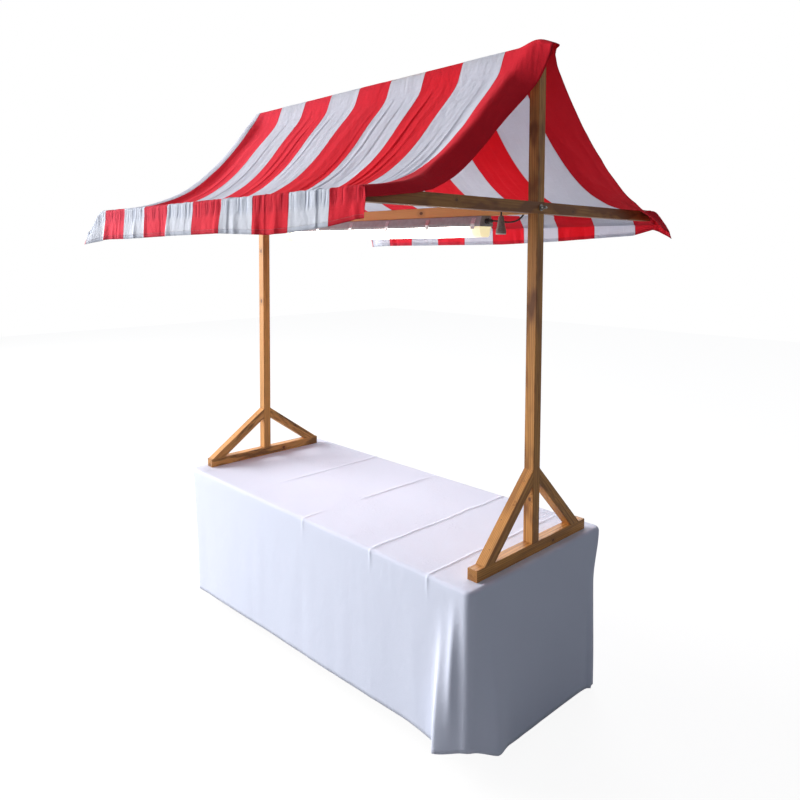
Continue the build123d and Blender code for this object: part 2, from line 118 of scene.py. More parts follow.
# Table cloth
CLOTH_THICKNESS = 0.001
CLOTH_EASE = 0.012
CLOTH_ROLL = 0.016
CLOTH_CORNER = 0.032
CLOTH_GRID = 0.017
CLOTH_RINGS = 36
CREASE_PLACES = (-0.91, -0.45, 0.025, 0.484, 0.808)
CREASE_HEIGHTS = (0.0007, 0.0026, 0.0028, 0.0028, 0.0028)
CREASE_WIDTH = 0.005
LEFT_CORNER_PULL = 0.055
HEM_EASE = (-0.03, -0.015, 0, 0.015, 0.03)
HEM_HEIGHTS = [
    (0.0, 0.060),
    (0.10, 0.066),
    (1.73, 0.110),
    (1.893, 0.092),
    (2.012, 0.134),
    (2.116, 0.104),
    (2.28, 0.055),
    (2.78, 0.036),
    (2.90, 0.014),
    (3.9, 0.030),
    (4.94, 0.030),
    (5.39, 0.040),
    (5.848, 0.060),
]


class Nodes:
    """Adds nodes to one tree; an input is given as a plain value or as the socket that feeds it."""

    def __init__(self, tree):
        self.tree = tree

    def put(self, socket, value):
        if isinstance(value, bpy.types.NodeSocket):
            self.tree.links.new(value, socket)
        else:
            socket.default_value = value

    def add(self, kind, inputs=(), **settings):
        node = self.tree.nodes.new(kind)
        for name, value in settings.items():
            setattr(node, name, value)
        for name, value in dict(inputs).items():
            self.put(node.inputs[name], value)
        return node

    def math(self, operation, first, second=0.0):
        return self.add("ShaderNodeMath", {0: first, 1: second}, operation=operation).outputs[0]

    def times(self, first, second):
        return self.math("MULTIPLY", first, second)

    def plus(self, first, second):
        return self.math("ADD", first, second)

    def minus(self, first, second):
        return self.math("SUBTRACT", first, second)

    def larger(self, first, second):
        return self.math("MAXIMUM", first, second)

    def weighted(self, *terms):
        """The sum of values, each times its weight."""
        total = 0.0
        for value, weight in terms:
            total = self.plus(total, self.times(value, weight))
        return total

    def vector(self, operation, first, second=(0.0, 0.0, 0.0)):
        node = self.add("ShaderNodeVectorMath", {0: first, 1: second}, operation=operation)
        return node.outputs["Value" if operation in ("LENGTH", "DOT_PRODUCT") else "Vector"]

    def step(self, value, low, high):
        """A soft mask that goes from 0 at low to 1 at high."""
        inputs = {"Value": value, "From Min": low, "From Max": high}
        return self.add("ShaderNodeMapRange", inputs, interpolation_type="SMOOTHSTEP").outputs["Result"]

    def past(self, value, place, blur):
        """A mask that turns to 1 past a place, over blur on both sides of it."""
        return self.step(value, place - blur, place + blur)

    def mix(self, share, first, second, blend="MIX"):
        inputs = {0: share, 6: first, 7: second}
        return self.add("ShaderNodeMix", inputs, data_type="RGBA", blend_type=blend).outputs[2]

    def tint(self, colour, other, mask, strength, blend="MIX"):
        """Brings in another colour where a mask shows, as far as strength."""
        return self.mix(self.times(mask, strength), colour, other, blend)

    def noise(self, place, stretch, detail=2.0):
        """Noise from 0 to 1, with stretch repeats a metre along each direction."""
        inputs = {"Vector": self.vector("MULTIPLY", place, stretch), "Scale": 1.0, "Detail": detail}
        return self.add("ShaderNodeTexNoise", inputs).outputs[0]

    def split(self, place):
        return self.add("ShaderNodeSeparateXYZ", {"Vector": place}).outputs

    def bump(self, height, distance, strength=1.0):
        inputs = {"Height": height, "Distance": distance, "Strength": strength}
        return self.add("ShaderNodeBump", inputs).outputs["Normal"]


def shader_group(name, inputs, outputs):
    """An empty shader group with named sockets; returns its nodes, inputs and outputs."""
    tree = bpy.data.node_groups.new(name, "ShaderNodeTree")
    for label, kind in inputs.items():
        tree.interface.new_socket(label, in_out="INPUT", socket_type="NodeSocket" + kind)
    for label, kind in outputs.items():
        tree.interface.new_socket(label, in_out="OUTPUT", socket_type="NodeSocket" + kind)
    nodes = Nodes(tree)
    return nodes, nodes.add("NodeGroupInput").outputs, nodes.add("NodeGroupOutput").inputs


def group_node(nodes, name, inputs):
    """Places a shared group in a material with its own values."""
    node = nodes.add("ShaderNodeGroup", node_tree=bpy.data.node_groups[name])
    for label, value in inputs.items():
        nodes.put(node.inputs[label], value)
    return node.outputs


def new_material(name):
    material = bpy.data.materials.new(name)
    material.use_nodes = True
    material.node_tree.nodes.clear()
    return material, Nodes(material.node_tree)


def show(nodes, shader):
    """Links a shader to the material's output."""
    nodes.add("ShaderNodeOutputMaterial", {"Surface": shader})


def principled(nodes, **inputs):
    """A surface shader with its inputs given by name, with underscores for spaces."""
    named = {label.replace("_", " "): value for label, value in inputs.items()}
    return nodes.add("ShaderNodeBsdfPrincipled", named).outputs[0]


def finished(material, nodes, **inputs):
    """Gives a material one surface shader."""
    show(nodes, principled(nodes, **inputs))
    return material


def object_place(nodes):
    return nodes.add("ShaderNodeTexCoord").outputs["Object"]


def uv_place(nodes):
    return nodes.add("ShaderNodeTexCoord").outputs["UV"]


# Shared effects

EARLY_WOOD = (0.66, 0.325, 0.088, 1.0)
LATE_WOOD = (0.40, 0.152, 0.033, 1.0)
DEEP_STAIN = (0.17, 0.060, 0.015, 1.0)
# Paler wood that a timber is mixed towards as painted light
PAINTED_LIGHT_WOOD = (0.90, 0.46, 0.155, 1.0)
BURNT_WOOD = (0.040, 0.018, 0.009, 1.0)
KNOT_WOOD = (0.105, 0.038, 0.014, 1.0)
RING_SPACING = 0.0062
RING_TAPER = 0.011
RING_DRIFT = 0.011
RING_BEND = 0.012
KNOT_STRETCH = (1, 1, 0.7)
TIMBER_HALF = 0.023
EDGE_BAND = 0.0035
EDGE_ROUNDING = 0.0006
END_BAND = 0.006
BURN_OFFSET = (3.1, 1.7, 0.4)
# Repeats a metre across and along the timber
DRIFTS = (11, 11, 1.7)
FIBRES = (480, 480, 11)
STREAKS = (64, 64, 2.1)
CLOUDS = (14, 14, 5.0)
BURNS = (34, 34, 4.5)
RUBS = (90, 90, 16)
# What differs from timber to timber
PINE_LOOKS = {
    "Pith": "Vector",
    "Scorch": "Float",
    # The stain amount, which above 1 darkens a whole timber as painted shade, and the paleness, which is
    # painted light
    "Tone": "Float",
    "Pale": "Float",
    "Knot A": "Vector",
    "Knot B": "Vector",
    "Knot size": "Float",
}


def knot_masks(nodes, given):
    """The cores of a timber's two knots, and the wider patches where the grain bends round them."""
    core = 0.0
    halo = 0.0
    for label in ("Knot A", "Knot B"):
        away = nodes.vector("SUBTRACT", given["Place"], given[label])
        away = nodes.vector("LENGTH", nodes.vector("MULTIPLY", away, KNOT_STRETCH))
        share = nodes.math("DIVIDE", away, given["Knot size"])
        core = nodes.larger(core, nodes.step(share, 1.05, 0.7))
        halo = nodes.larger(halo, nodes.step(share, 3.4, 0.8))
    return core, halo


def late_bands(nodes, given, knot_halo):
    """The dark band of each growth ring; rings taper along the timber, drift, and bend at knots."""
    place = given["Place"]
    across = nodes.vector("MULTIPLY", nodes.vector("SUBTRACT", place, given["Pith"]), (1, 1, 0))
    taper = nodes.vector("DOT_PRODUCT", place, (0, 0, RING_TAPER))
    radius = nodes.plus(nodes.vector("LENGTH", across), taper)
    drift = nodes.noise(place, DRIFTS)
    radius = nodes.weighted((radius, 1.0), (drift, RING_DRIFT), (knot_halo, RING_BEND))
    ring = nodes.math("FRACT", nodes.math("DIVIDE", radius, RING_SPACING))
    return nodes.times(nodes.step(ring, 0.3, 0.9), nodes.step(ring, 1.0, 0.93))


def worn_edges(nodes, given):
    """Rubbed long edges, and the end grain."""
    place = given["Place"]
    x, y, z = nodes.split(place)
    inner = nodes.math("MINIMUM", nodes.math("ABSOLUTE", x), nodes.math("ABSOLUTE", y))
    edge = nodes.step(inner, TIMBER_HALF - EDGE_BAND, TIMBER_HALF - EDGE_ROUNDING)
    worn = nodes.times(edge, nodes.step(nodes.noise(place, RUBS, 3.0), 0.35, 0.7))
    to_end = nodes.minus(given["Half length"], nodes.math("ABSOLUTE", z))
    return worn, nodes.step(to_end, END_BAND, 0.0)


def make_pine_grain():
    """Growth rings about a pith, fibres, stain with painted shade, painted light, knots, scorched streaks and
    darkened edges of one timber.
    """
    inputs = {"Place": "Vector", "Half length": "Float", **PINE_LOOKS}
    outputs = {"Color": "Color", "Roughness": "Float", "Height": "Float"}
    nodes, given, result = shader_group("pine_grain", inputs, outputs)
    place = given["Place"]
    knot_core, knot_halo = knot_masks(nodes, given)
    late = late_bands(nodes, given, knot_halo)
    worn, end = worn_edges(nodes, given)
    fibre = nodes.noise(place, FIBRES, 3.0)
    streak = nodes.step(nodes.noise(place, STREAKS, 3.0), 0.46, 0.74)
    colour = nodes.tint(EARLY_WOOD, LATE_WOOD, late, 0.72)
    colour = nodes.tint(colour, LATE_WOOD, nodes.step(fibre, 0.42, 0.72), 0.42)
    colour = nodes.tint(colour, DEEP_STAIN, streak, 0.5)
    # Stain clouds, scaled by the stain amount; an amount above 1 darkens the whole timber as painted shade
    stain = nodes.times(nodes.step(nodes.noise(place, CLOUDS, 2.0), 0.4, 0.75), given["Tone"])
    stain = nodes.plus(stain, nodes.larger(nodes.minus(given["Tone"], 1.0), 0.0))
    colour = nodes.mix(stain, colour, DEEP_STAIN)
    # Painted light: the timber is mixed towards paler wood
    colour = nodes.mix(given["Pale"], colour, PAINTED_LIGHT_WOOD)
    burn = nodes.noise(nodes.vector("ADD", place, BURN_OFFSET), BURNS, 4.0)
    burn = nodes.step(nodes.plus(burn, nodes.times(given["Scorch"], 0.22)), 0.57, 0.70)
    burn = nodes.times(burn, nodes.plus(0.55, nodes.times(late, 0.4)))
    burn = nodes.times(burn, nodes.step(given["Scorch"], 0.0, 0.4))
    colour = nodes.mix(burn, colour, BURNT_WOOD)
    colour = nodes.tint(colour, DEEP_STAIN, knot_halo, 0.30)
    colour = nodes.tint(colour, KNOT_WOOD, knot_core, 0.9)
    colour = nodes.tint(colour, DEEP_STAIN, worn, 0.55)
    colour = nodes.tint(colour, DEEP_STAIN, end, 0.42)
    nodes.put(result["Color"], colour)
    nodes.put(result["Roughness"], nodes.plus(0.46, nodes.times(fibre, 0.22)))
    nodes.put(result["Height"], nodes.weighted((late, 0.5), (fibre, 0.7), (knot_core, -0.4)))


def make_cloth_weave():
    """Plain weave with uneven yarns, and the soft crumple of washed cloth."""
    inputs = {"Place": "Vector", "Yarns": "Float"}
    outputs = {"Height": "Float", "Slub": "Float", "Crumple": "Float"}
    nodes, given, result = shader_group("cloth_weave", inputs, outputs)
    place = given["Place"]
    x, y, _ = nodes.split(place)
    warp = nodes.math("SINE", nodes.times(x, given["Yarns"]))
    weft = nodes.math("SINE", nodes.times(y, given["Yarns"]))
    nodes.put(result["Height"], nodes.times(warp, weft))
    lengthwise = nodes.noise(place, (620, 16, 1))
    crosswise = nodes.noise(place, (16, 620, 1))
    nodes.put(result["Slub"], nodes.times(nodes.plus(lengthwise, crosswise), 0.5))
    soft = nodes.noise(place, (17, 9, 1), 5.0)
    nodes.put(result["Crumple"], nodes.math("ABSOLUTE", nodes.minus(soft, 0.5)))


def make_surface_wear():
    """Fine mottling, specks of dirt and handling marks for metal, plastic and rubber."""
    inputs = {"Place": "Vector", "Fineness": "Float"}
    outputs = {"Mottle": "Float", "Specks": "Float", "Grain": "Float"}
    nodes, given, result = shader_group("surface_wear", inputs, outputs)
    inputs = {0: given["Place"], "Scale": given["Fineness"]}
    scaled = nodes.add("ShaderNodeVectorMath", inputs, operation="SCALE").outputs["Vector"]
    nodes.put(result["Mottle"], nodes.noise(scaled, (1, 1, 1), 4.0))
    nodes.put(result["Specks"], nodes.step(nodes.noise(scaled, (9, 9, 9), 2.0), 0.66, 0.76))
    nodes.put(result["Grain"], nodes.noise(scaled, (40, 40, 40), 2.0))


# Finishes

CANVAS_RED = (0.84, 0.024, 0.044, 1.0)
# Paler, pinker red for random fading and for a painted sheen towards the left end
FADED_AND_LIT_RED = (0.92, 0.085, 0.14, 1.0)
CANVAS_WHITE = (0.80, 0.845, 0.935, 1.0)
CANVAS_SLUB = (0.70, 0.73, 0.79, 1.0)
CANVAS_YARN = 0.0011
CANVAS_SHOWS_LIGHT = 0.46
# Tint of the light let through the canvas: painted warmth of the lamp light
PAINTED_LAMP_WARMTH = (1.0, 0.93, 0.90, 1.0)
SLUB_SHADE = (0.93, 0.93, 0.93, 1.0)
# Painted shade along the seams
SEAM_PAINTED_SHADE = (0.60, 0.58, 0.62, 1.0)
# Painted shade, bluer, over the doubled pole pocket where less light comes through
POCKET_PAINTED_SHADE = (0.84, 0.88, 0.95, 1.0)
# Painted shade over the doubled hems where less light comes through
HEM_PAINTED_SHADE = (0.74, 0.76, 0.80, 1.0)
# Painted shade in the folds of the gathers
GATHER_PAINTED_SHADE = (0.66, 0.70, 0.78, 1.0)
# Repeats a metre across and down the canopy
FADES = (2.2, 1.3, 1)
GATHERS = (62, 5, 1)
PUCKERS = (30, 95, 1)
FACING_FROM = 0.812
LINING_BLUR = 0.005
CLOTH_WHITE = (0.745, 0.805, 0.955, 1.0)
CLOTH_CLOUD = (0.74, 0.775, 0.92, 1.0)
CLOTH_SLUB = (0.69, 0.725, 0.87, 1.0)
CLOTH_YARN = 0.0009


def pine_finish(node, looks):
    """Stained pine for one timber, with the grain turned to run along it."""
    low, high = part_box(node)
    centre = (low + high) / 2
    size = high - low
    if "brace" in node:
        outward = 1 if centre.y > 0 else -1
        length = Vector((0, outward * size.y, -size.z))
    else:
        longest = list(size).index(max(size))
        length = Vector([size[axis] if axis == longest else 0 for axis in range(3)])
    side = Vector((1, 0, 0)) if length.x == 0 else Vector((0, 1, 0))
    along = length.normalized()
    turn = Matrix((side, along.cross(side), along))
    material, nodes = new_material(f"stained_pine.{node}")
    inputs = {"Vector": object_place(nodes), "Location": -(turn @ centre), "Rotation": turn.to_euler()}
    place = nodes.add("ShaderNodeMapping", inputs, vector_type="POINT").outputs[0]
    values = {"Place": place, "Half length": length.length / 2, **dict(zip(PINE_LOOKS, looks))}
    grain = group_node(nodes, "pine_grain", values)
    return finished(
        material,
        nodes,
        Base_Color=grain["Color"],
        Roughness=grain["Roughness"],
        Specular_IOR_Level=0.35,
        Normal=nodes.bump(grain["Height"], 0.0006, 0.8),
    )


def canvas_finish(section):
    """Red and white striped cotton with sewn seams, a doubled pole pocket and turned hems."""
    material, nodes = new_material("striped_canvas")
    place = uv_place(nodes)
    u, v, _ = nodes.split(place)
    down = nodes.math("ABSOLUTE", v)
    eave = section["eave"]
    hem_line = section["hem"] - HEM_DEPTH
    weave = group_node(nodes, "cloth_weave", {"Place": place, "Yarns": 2 * pi / CANVAS_YARN})

    stripe = nodes.math("DIVIDE", nodes.minus(u, STRIPE_START), STRIPE_WIDTH)
    stripe = nodes.math("MINIMUM", stripe, STRIPE_LAST)
    wave = nodes.math("PINGPONG", nodes.plus(stripe, 0.5), 1.0)
    white = nodes.minus(1.0, nodes.step(wave, 0.495, 0.505))
    fade = nodes.noise(place, FADES, 3.0)
    # Random fading, and towards the left end a painted sheen of the light from the left
    faded_and_lit = nodes.plus(nodes.times(fade, 0.25), nodes.step(u, 0.75, CANOPY_LEFT))
    red = nodes.tint(CANVAS_RED, FADED_AND_LIT_RED, faded_and_lit, 0.75)
    pale = nodes.tint(CANVAS_WHITE, CANVAS_SLUB, weave["Slub"], 0.35)
    colour = nodes.mix(white, red, pale)
    colour = nodes.mix(nodes.step(weave["Slub"], 0.62, 0.40), colour, SLUB_SHADE, "MULTIPLY")

    to_seam = nodes.math("PINGPONG", nodes.math("ABSOLUTE", stripe), 0.5)
    seam = nodes.step(to_seam, 0.014, 0.004)
    pocket = nodes.step(down, eave + POCKET_DEPTH + 0.012, eave + POCKET_DEPTH - 0.020)
    pocket = nodes.times(pocket, nodes.past(down, eave, EAVE_BLUR))
    left_hem = nodes.past(u, CANOPY_LEFT + HEM_DEPTH, -HEM_BLUR)
    right_hem = nodes.past(u, CANOPY_RIGHT - HEM_DEPTH, HEM_BLUR)
    hem = nodes.larger(nodes.past(down, hem_line, HEM_BLUR), nodes.larger(left_hem, right_hem))
    gather = nodes.times(nodes.step(nodes.noise(place, GATHERS, 2.0), 0.46, 0.66), pocket)
    # Painted shade along the seams, over the doubled pocket and hems, and in the gathers' folds
    colour = nodes.tint(colour, SEAM_PAINTED_SHADE, seam, 0.45, "MULTIPLY")
    colour = nodes.tint(colour, POCKET_PAINTED_SHADE, pocket, 0.3, "MULTIPLY")
    colour = nodes.tint(colour, HEM_PAINTED_SHADE, hem, 0.75, "MULTIPLY")
    colour = nodes.tint(colour, GATHER_PAINTED_SHADE, gather, 0.5, "MULTIPLY")

    stitch_gap = nodes.math("ABSOLUTE", nodes.minus(down, hem_line))
    pucker = nodes.times(nodes.noise(place, PUCKERS, 2.0), nodes.step(to_seam, 0.16, 0.0))
    height = nodes.weighted(
        (weave["Height"], 0.00008),
        (weave["Crumple"], 0.010),
        (pucker, 0.0035),
        (nodes.step(stitch_gap, 0.0030, 0.0010), -0.0008),
        (seam, 0.0006),
        (gather, -0.0035),
    )
    normal = nodes.bump(height, 1.0, 0.8)
    cloth = principled(
        nodes,
        Base_Color=colour,
        Roughness=0.9,
        Specular_IOR_Level=0.06,
        Sheen_Weight=0.05,
        Sheen_Roughness=0.5,
        Normal=normal,
    )
    # The light let through is tinted warmer: painted warmth of the lamp light
    painted_warm_colour = nodes.mix(1.0, colour, PAINTED_LAMP_WARMTH, "MULTIPLY")
    through = nodes.add("ShaderNodeBsdfTranslucent", {"Color": painted_warm_colour, "Normal": normal}).outputs[0]
    faced = nodes.past(u, FACING_FROM, EAVE_BLUR)
    lined = nodes.past(v, -eave, -LINING_BLUR)
    thick = nodes.times(nodes.larger(pocket, hem), 0.35)
    thick = nodes.larger(thick, nodes.times(faced, 0.55))
    thick = nodes.larger(thick, nodes.times(lined, 0.60))
    share = nodes.times(nodes.minus(1.0, thick), CANVAS_SHOWS_LIGHT)
    show(nodes, nodes.add("ShaderNodeMixShader", {0: share, 1: cloth, 2: through}).outputs[0])
    return material


def table_cloth_finish():
    """Pale blue-white polyester cloth with a fine weave, press creases and small crumples."""
    material, nodes = new_material("table_cloth")
    place = uv_place(nodes)
    weave = group_node(nodes, "cloth_weave", {"Place": place, "Yarns": 2 * pi / CLOTH_YARN})
    cloud = nodes.noise(place, (1.6, 1.6, 1), 2.0)
    colour = nodes.tint(CLOTH_WHITE, CLOTH_CLOUD, cloud, 0.4)
    colour = nodes.tint(colour, CLOTH_SLUB, weave["Slub"], 0.25)
    x, y, _ = nodes.split(place)
    across = nodes.step(nodes.math("ABSOLUTE", y), 0.46, 0.43)
    on_top = nodes.times(across, nodes.step(nodes.math("ABSOLUTE", x), 1.0, 0.97))
    patch = nodes.times(nodes.step(nodes.noise(place, (3.2, 3.6, 1), 1.0), 0.42, 0.62), on_top)
    crease = nodes.noise(place, (26, 34, 1), 2.0)
    crease = nodes.step(nodes.math("ABSOLUTE", nodes.minus(crease, 0.5)), 0.035, 0.0)
    height = nodes.weighted(
        (weave["Height"], 0.00005),
        (nodes.times(crease, patch), 0.0011),
        (weave["Crumple"], 0.0022),
    )
    return finished(
        material,
        nodes,
        Base_Color=colour,
        Roughness=0.78,
        Specular_IOR_Level=0.22,
        Sheen_Weight=0.10,
        Sheen_Roughness=0.45,
        Normal=nodes.bump(height, 1.0, 0.8),
    )


# Plain finishes: colour, worn colour, roughness, metal, fineness and depth of the grain, gloss coat
PLAIN = {
    "zinc_steel": ((0.25, 0.24, 0.23, 1), (0.13, 0.125, 0.12, 1), 0.36, 1.0, 160.0, 0.0002, 0.0),
    "spring_steel": ((0.68, 0.68, 0.67, 1), (0.45, 0.45, 0.45, 1), 0.30, 1.0, 220.0, 0.0001, 0.0),
    "leg_steel": ((0.20, 0.21, 0.22, 1), (0.14, 0.145, 0.15, 1), 0.42, 0.0, 90.0, 0.0003, 0.2),
    "cap_rubber": ((0.022, 0.022, 0.022, 1), (0.05, 0.048, 0.045, 1), 0.72, 0.0, 120.0, 0.0003, 0.0),
    "table_board": ((0.74, 0.74, 0.71, 1), (0.62, 0.62, 0.60, 1), 0.55, 0.0, 70.0, 0.0006, 0.0),
    "grey_plastic": ((0.42, 0.42, 0.43, 1), (0.34, 0.34, 0.35, 1), 0.48, 0.0, 50.0, 0.0002, 0.0),
    "black_plastic": ((0.020, 0.020, 0.021, 1), (0.035, 0.034, 0.033, 1), 0.45, 0.0, 140.0, 0.0002, 0.0),
    "lead_rubber": ((0.016, 0.016, 0.016, 1), (0.034, 0.033, 0.032, 1), 0.55, 0.0, 260.0, 0.0002, 0.0),
    "grey_rubber": ((0.30, 0.25, 0.22, 1), (0.19, 0.16, 0.14, 1), 0.62, 0.0, 160.0, 0.0003, 0.0),
    "stitch_thread": ((0.42, 0.30, 0.32, 1), (0.32, 0.20, 0.22, 1), 0.8, 0.0, 400.0, 0.0001, 0.0),
    "screw_steel": ((0.09, 0.075, 0.06, 1), (0.05, 0.042, 0.036, 1), 0.5, 0.6, 300.0, 0.0001, 0.0),
}
PALE_RIM = (0.78, 0.76, 0.72, 1.0)
RIM_HEIGHT = 0.005
RIM_BLUR = 0.001


def plain_finish(name, pale_to=0.0):
    """Metal, plastic or rubber that varies with wear in colour, gloss and surface; pale up to one height."""
    colour, worn, roughness, metal, fineness, grain, coat = PLAIN[name]
    material, nodes = new_material(name)
    place = object_place(nodes)
    wear = group_node(nodes, "surface_wear", {"Place": place, "Fineness": fineness})
    base = nodes.mix(nodes.step(wear["Mottle"], 0.3, 0.75), colour, worn)
    base = nodes.tint(base, worn, wear["Specks"], 0.5)
    if pale_to > 0:
        height = nodes.split(place)[2]
        base = nodes.mix(nodes.step(height, pale_to, pale_to - RIM_BLUR), base, PALE_RIM)
    return finished(
        material,
        nodes,
        Base_Color=base,
        Metallic=metal,
        Roughness=nodes.plus(roughness - 0.08, nodes.times(wear["Mottle"], 0.2)),
        Coat_Weight=coat,
        Normal=nodes.bump(wear["Grain"], grain, 0.6),
    )


OPAL = (0.86, 0.86, 0.82, 1.0)
WORN_OPAL = (0.80, 0.80, 0.77, 1.0)
OPAL_FINENESS = 40.0
GLOW = (1.0, 0.96, 0.86, 1.0)
END_GLOW = (0.061, 0.052, 0.026, 1.0)
GLOW_STRENGTH = 11.5


def diffuser_finish():
    """Lit opal plastic, dimmer and creamier towards its ends."""
    material, nodes = new_material("opal_diffuser")
    low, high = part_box("light_diffuser")
    place = object_place(nodes)
    x = nodes.split(place)[0]
    to_end = nodes.math("MINIMUM", nodes.minus(x, low.x), nodes.minus(high.x, x))
    wear = group_node(nodes, "surface_wear", {"Place": place, "Fineness": OPAL_FINENESS})
    return finished(
        material,
        nodes,
        Base_Color=nodes.mix(wear["Mottle"], OPAL, WORN_OPAL),
        Roughness=nodes.plus(0.25, nodes.times(wear["Mottle"], 0.15)),
        Emission_Color=nodes.mix(nodes.step(to_end, 0.03, 0.16), END_GLOW, GLOW),
        Emission_Strength=GLOW_STRENGTH,
    )


# Mesh making

FIELD_SIZE = 97


def smooth_step(low, high, value):
    share = np.clip((value - low) / (high - low), 0, 1)
    return share * share * (3 - 2 * share)


def random_field(across, along, seed):
    """Smooth random values from -1 to 1 with about one swing for each unit across and along."""
    table = np.random.default_rng(seed).uniform(-1, 1, (FIELD_SIZE, FIELD_SIZE))
    across, along = np.broadcast_arrays(across, along)
    column = np.floor(across).astype(int)
    row = np.floor(along).astype(int)
    right = smooth_step(0, 1, across - column)
    up = smooth_step(0, 1, along - row)
    here = column % FIELD_SIZE
    after = (column + 1) % FIELD_SIZE
    below = row % FIELD_SIZE
    above = (row + 1) % FIELD_SIZE
    lower = table[here, below] * (1 - right) + table[after, below] * right
    upper = table[here, above] * (1 - right) + table[after, above] * right
    return lower * (1 - up) + upper * up


def ridged_field(across, along, seed):
    """Sharp crests, from -1 to 1, where the smooth random field changes sign."""
    return 1 - 2 * np.abs(random_field(across, along, seed)) ** 0.7


def linked(name, data):
    """A piece in the scene for a mesh, a curve, a camera or a light."""
    piece = bpy.data.objects.new(name, data)
    bpy.context.scene.collection.objects.link(piece)
    return piece


def mesh_object(name, points, faces, uv=None, material=None, edges=()):
    """A smooth-shaded mesh piece with one UV pair for each point."""
    mesh = bpy.data.meshes.new(name)
    mesh.from_pydata([tuple(point) for point in points], edges, [tuple(face) for face in faces])
    if uv is not None:
        layer = mesh.uv_layers.new(name="flat")
        corners = np.empty(len(mesh.loops), dtype=np.int32)
        mesh.loops.foreach_get("vertex_index", corners)
        layer.data.foreach_set("uv", np.asarray(uv, dtype=np.float32)[corners].ravel())
    mesh.polygons.foreach_set("use_smooth", [True] * len(mesh.polygons))
    if material is not None:
        mesh.materials.append(material)
    return linked(name, mesh)


def spread(*parts):
    """Arrays of one value for each grid point as a list of points, row by row."""
    return np.stack(np.broadcast_arrays(*parts), axis=-1).reshape(-1, len(parts))


def grid_faces(rows, columns):
    """Faces of a grid whose points run row by row."""
    first = (np.arange(rows - 1)[:, None] * columns + np.arange(columns - 1)[None, :]).ravel()
    return np.stack([first, first + 1, first + columns + 1, first + columns], axis=1)


def thicken(piece, thickness):
    solid = piece.modifiers.new("cloth thickness", "SOLIDIFY")
    solid.thickness = thickness
    solid.offset = 0
    return piece


# Canopy

FRONT = -1
BACK = 1
SHOULDER_STEPS = 8
SLOPE_STEPS = 400
NEAR_RIDGE = 0.04
ABOVE_EAVE = 0.06
BELOW_EAVE = 0.016


def canopy_section():
    """One half of the cross section: distance along the cloth, depth from the ridge and height."""
    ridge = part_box("ridge_beam")[1]
    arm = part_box("left_cross_arm")[1]
    bend = RIDGE_ROUNDING + CANOPY_CLEAR
    bend_y = ridge.y - RIDGE_ROUNDING
    bend_z = ridge.z - RIDGE_ROUNDING
    angles = np.linspace(0, CANOPY_FALL, SHOULDER_STEPS)
    depth = [0.0, *(bend_y + bend * np.sin(angles))]
    height = [bend_z + bend, *(bend_z + bend * np.cos(angles))]
    eave_y = arm.y + EAVE_PROUD - EAVE_BEND
    eave_z = arm.z + EAVE_PROUD
    start_y = depth[-1]
    reach = eave_y - start_y
    drop = height[-1] - eave_z
    share = np.linspace(0, 1, SLOPE_STEPS)[1:]
    depth += list(start_y + reach * share)
    height += list(eave_z + drop * (1 - share) ** (tan(CANOPY_FALL) * reach / drop))
    eave_at = len(depth) - 1
    angles = np.linspace(0, pi / 2, SHOULDER_STEPS)[1:]
    depth += list(eave_y + EAVE_BEND * np.sin(angles))
    height += list(eave_z - EAVE_BEND + EAVE_BEND * np.cos(angles))
    depth.append(depth[-1])
    height.append(eave_z - VALANCE_DEPTH)
    depth = np.array(depth)
    height = np.array(height)
    along = np.concatenate([[0], np.cumsum(np.hypot(np.diff(depth), np.diff(height)))])
    return {
        "along": along,
        "depth": depth,
        "height": height,
        "eave": along[eave_at],
        "hem": along[-1],
        "eave_z": eave_z,
    }


def canopy_rows(section):
    """Distances along one half of the cloth, closer at the ridge, the eave and the valance."""
    eave = section["eave"]
    parts = [
        np.linspace(0, NEAR_RIDGE, 6, endpoint=False),
        np.linspace(NEAR_RIDGE, eave - ABOVE_EAVE, 46, endpoint=False),
        np.linspace(eave - ABOVE_EAVE, eave + BELOW_EAVE, 11, endpoint=False),
        np.linspace(eave + BELOW_EAVE, section["hem"], 13),
    ]
    return np.concatenate(parts)


# Long tucks: place in stripes from the left seam, height on front and back, where each starts and ends
TUCKS = [
    (0.64, 0.0026, 0.0024, 0.30, 1.10),
    (1.50, 0.0030, 0.0024, 0.04, 0.95),
    (2.40, 0.0036, 0.0016, 0.04, 0.62),
    (2.68, 0.0040, 0.0024, 0.10, 1.10),
    (3.30, 0.0030, 0.0024, 0.05, 0.58),
    (3.74, 0.0020, 0.0016, 0.35, 1.10),
    (4.80, 0.0022, 0.0024, 0.04, 0.85),
    (5.25, 0.0044, 0.0024, 0.04, 1.10),
    (5.60, 0.0026, 0.0016, 0.06, 0.62),
    (6.36, 0.0048, 0.0024, 0.04, 1.10),
    (6.64, 0.0034, 0.0024, 0.12, 0.88),
    (7.36, 0.0030, 0.0016, 0.30, 0.95),
    (7.70, 0.0040, 0.0024, 0.05, 1.10),
]
TUCK_OFFSETS = (-0.034, -0.013, -0.003, 0.001, 0.005, 0.013, 0.028)
TUCK_SHAPE = (0.0, 0.50, 1.0, 0.25, -0.46, -0.26, 0.0)
TUCK_WANDER = 0.011
TUCK_FADE = 0.15
LEAST_GAP = 0.0022


def thinned(lines, least):
    """Sorted places with those left out that are closer than least to the one before."""
    kept = []
    for line in sorted(lines):
        if not kept or line - kept[-1] > least:
            kept.append(line)
    return kept


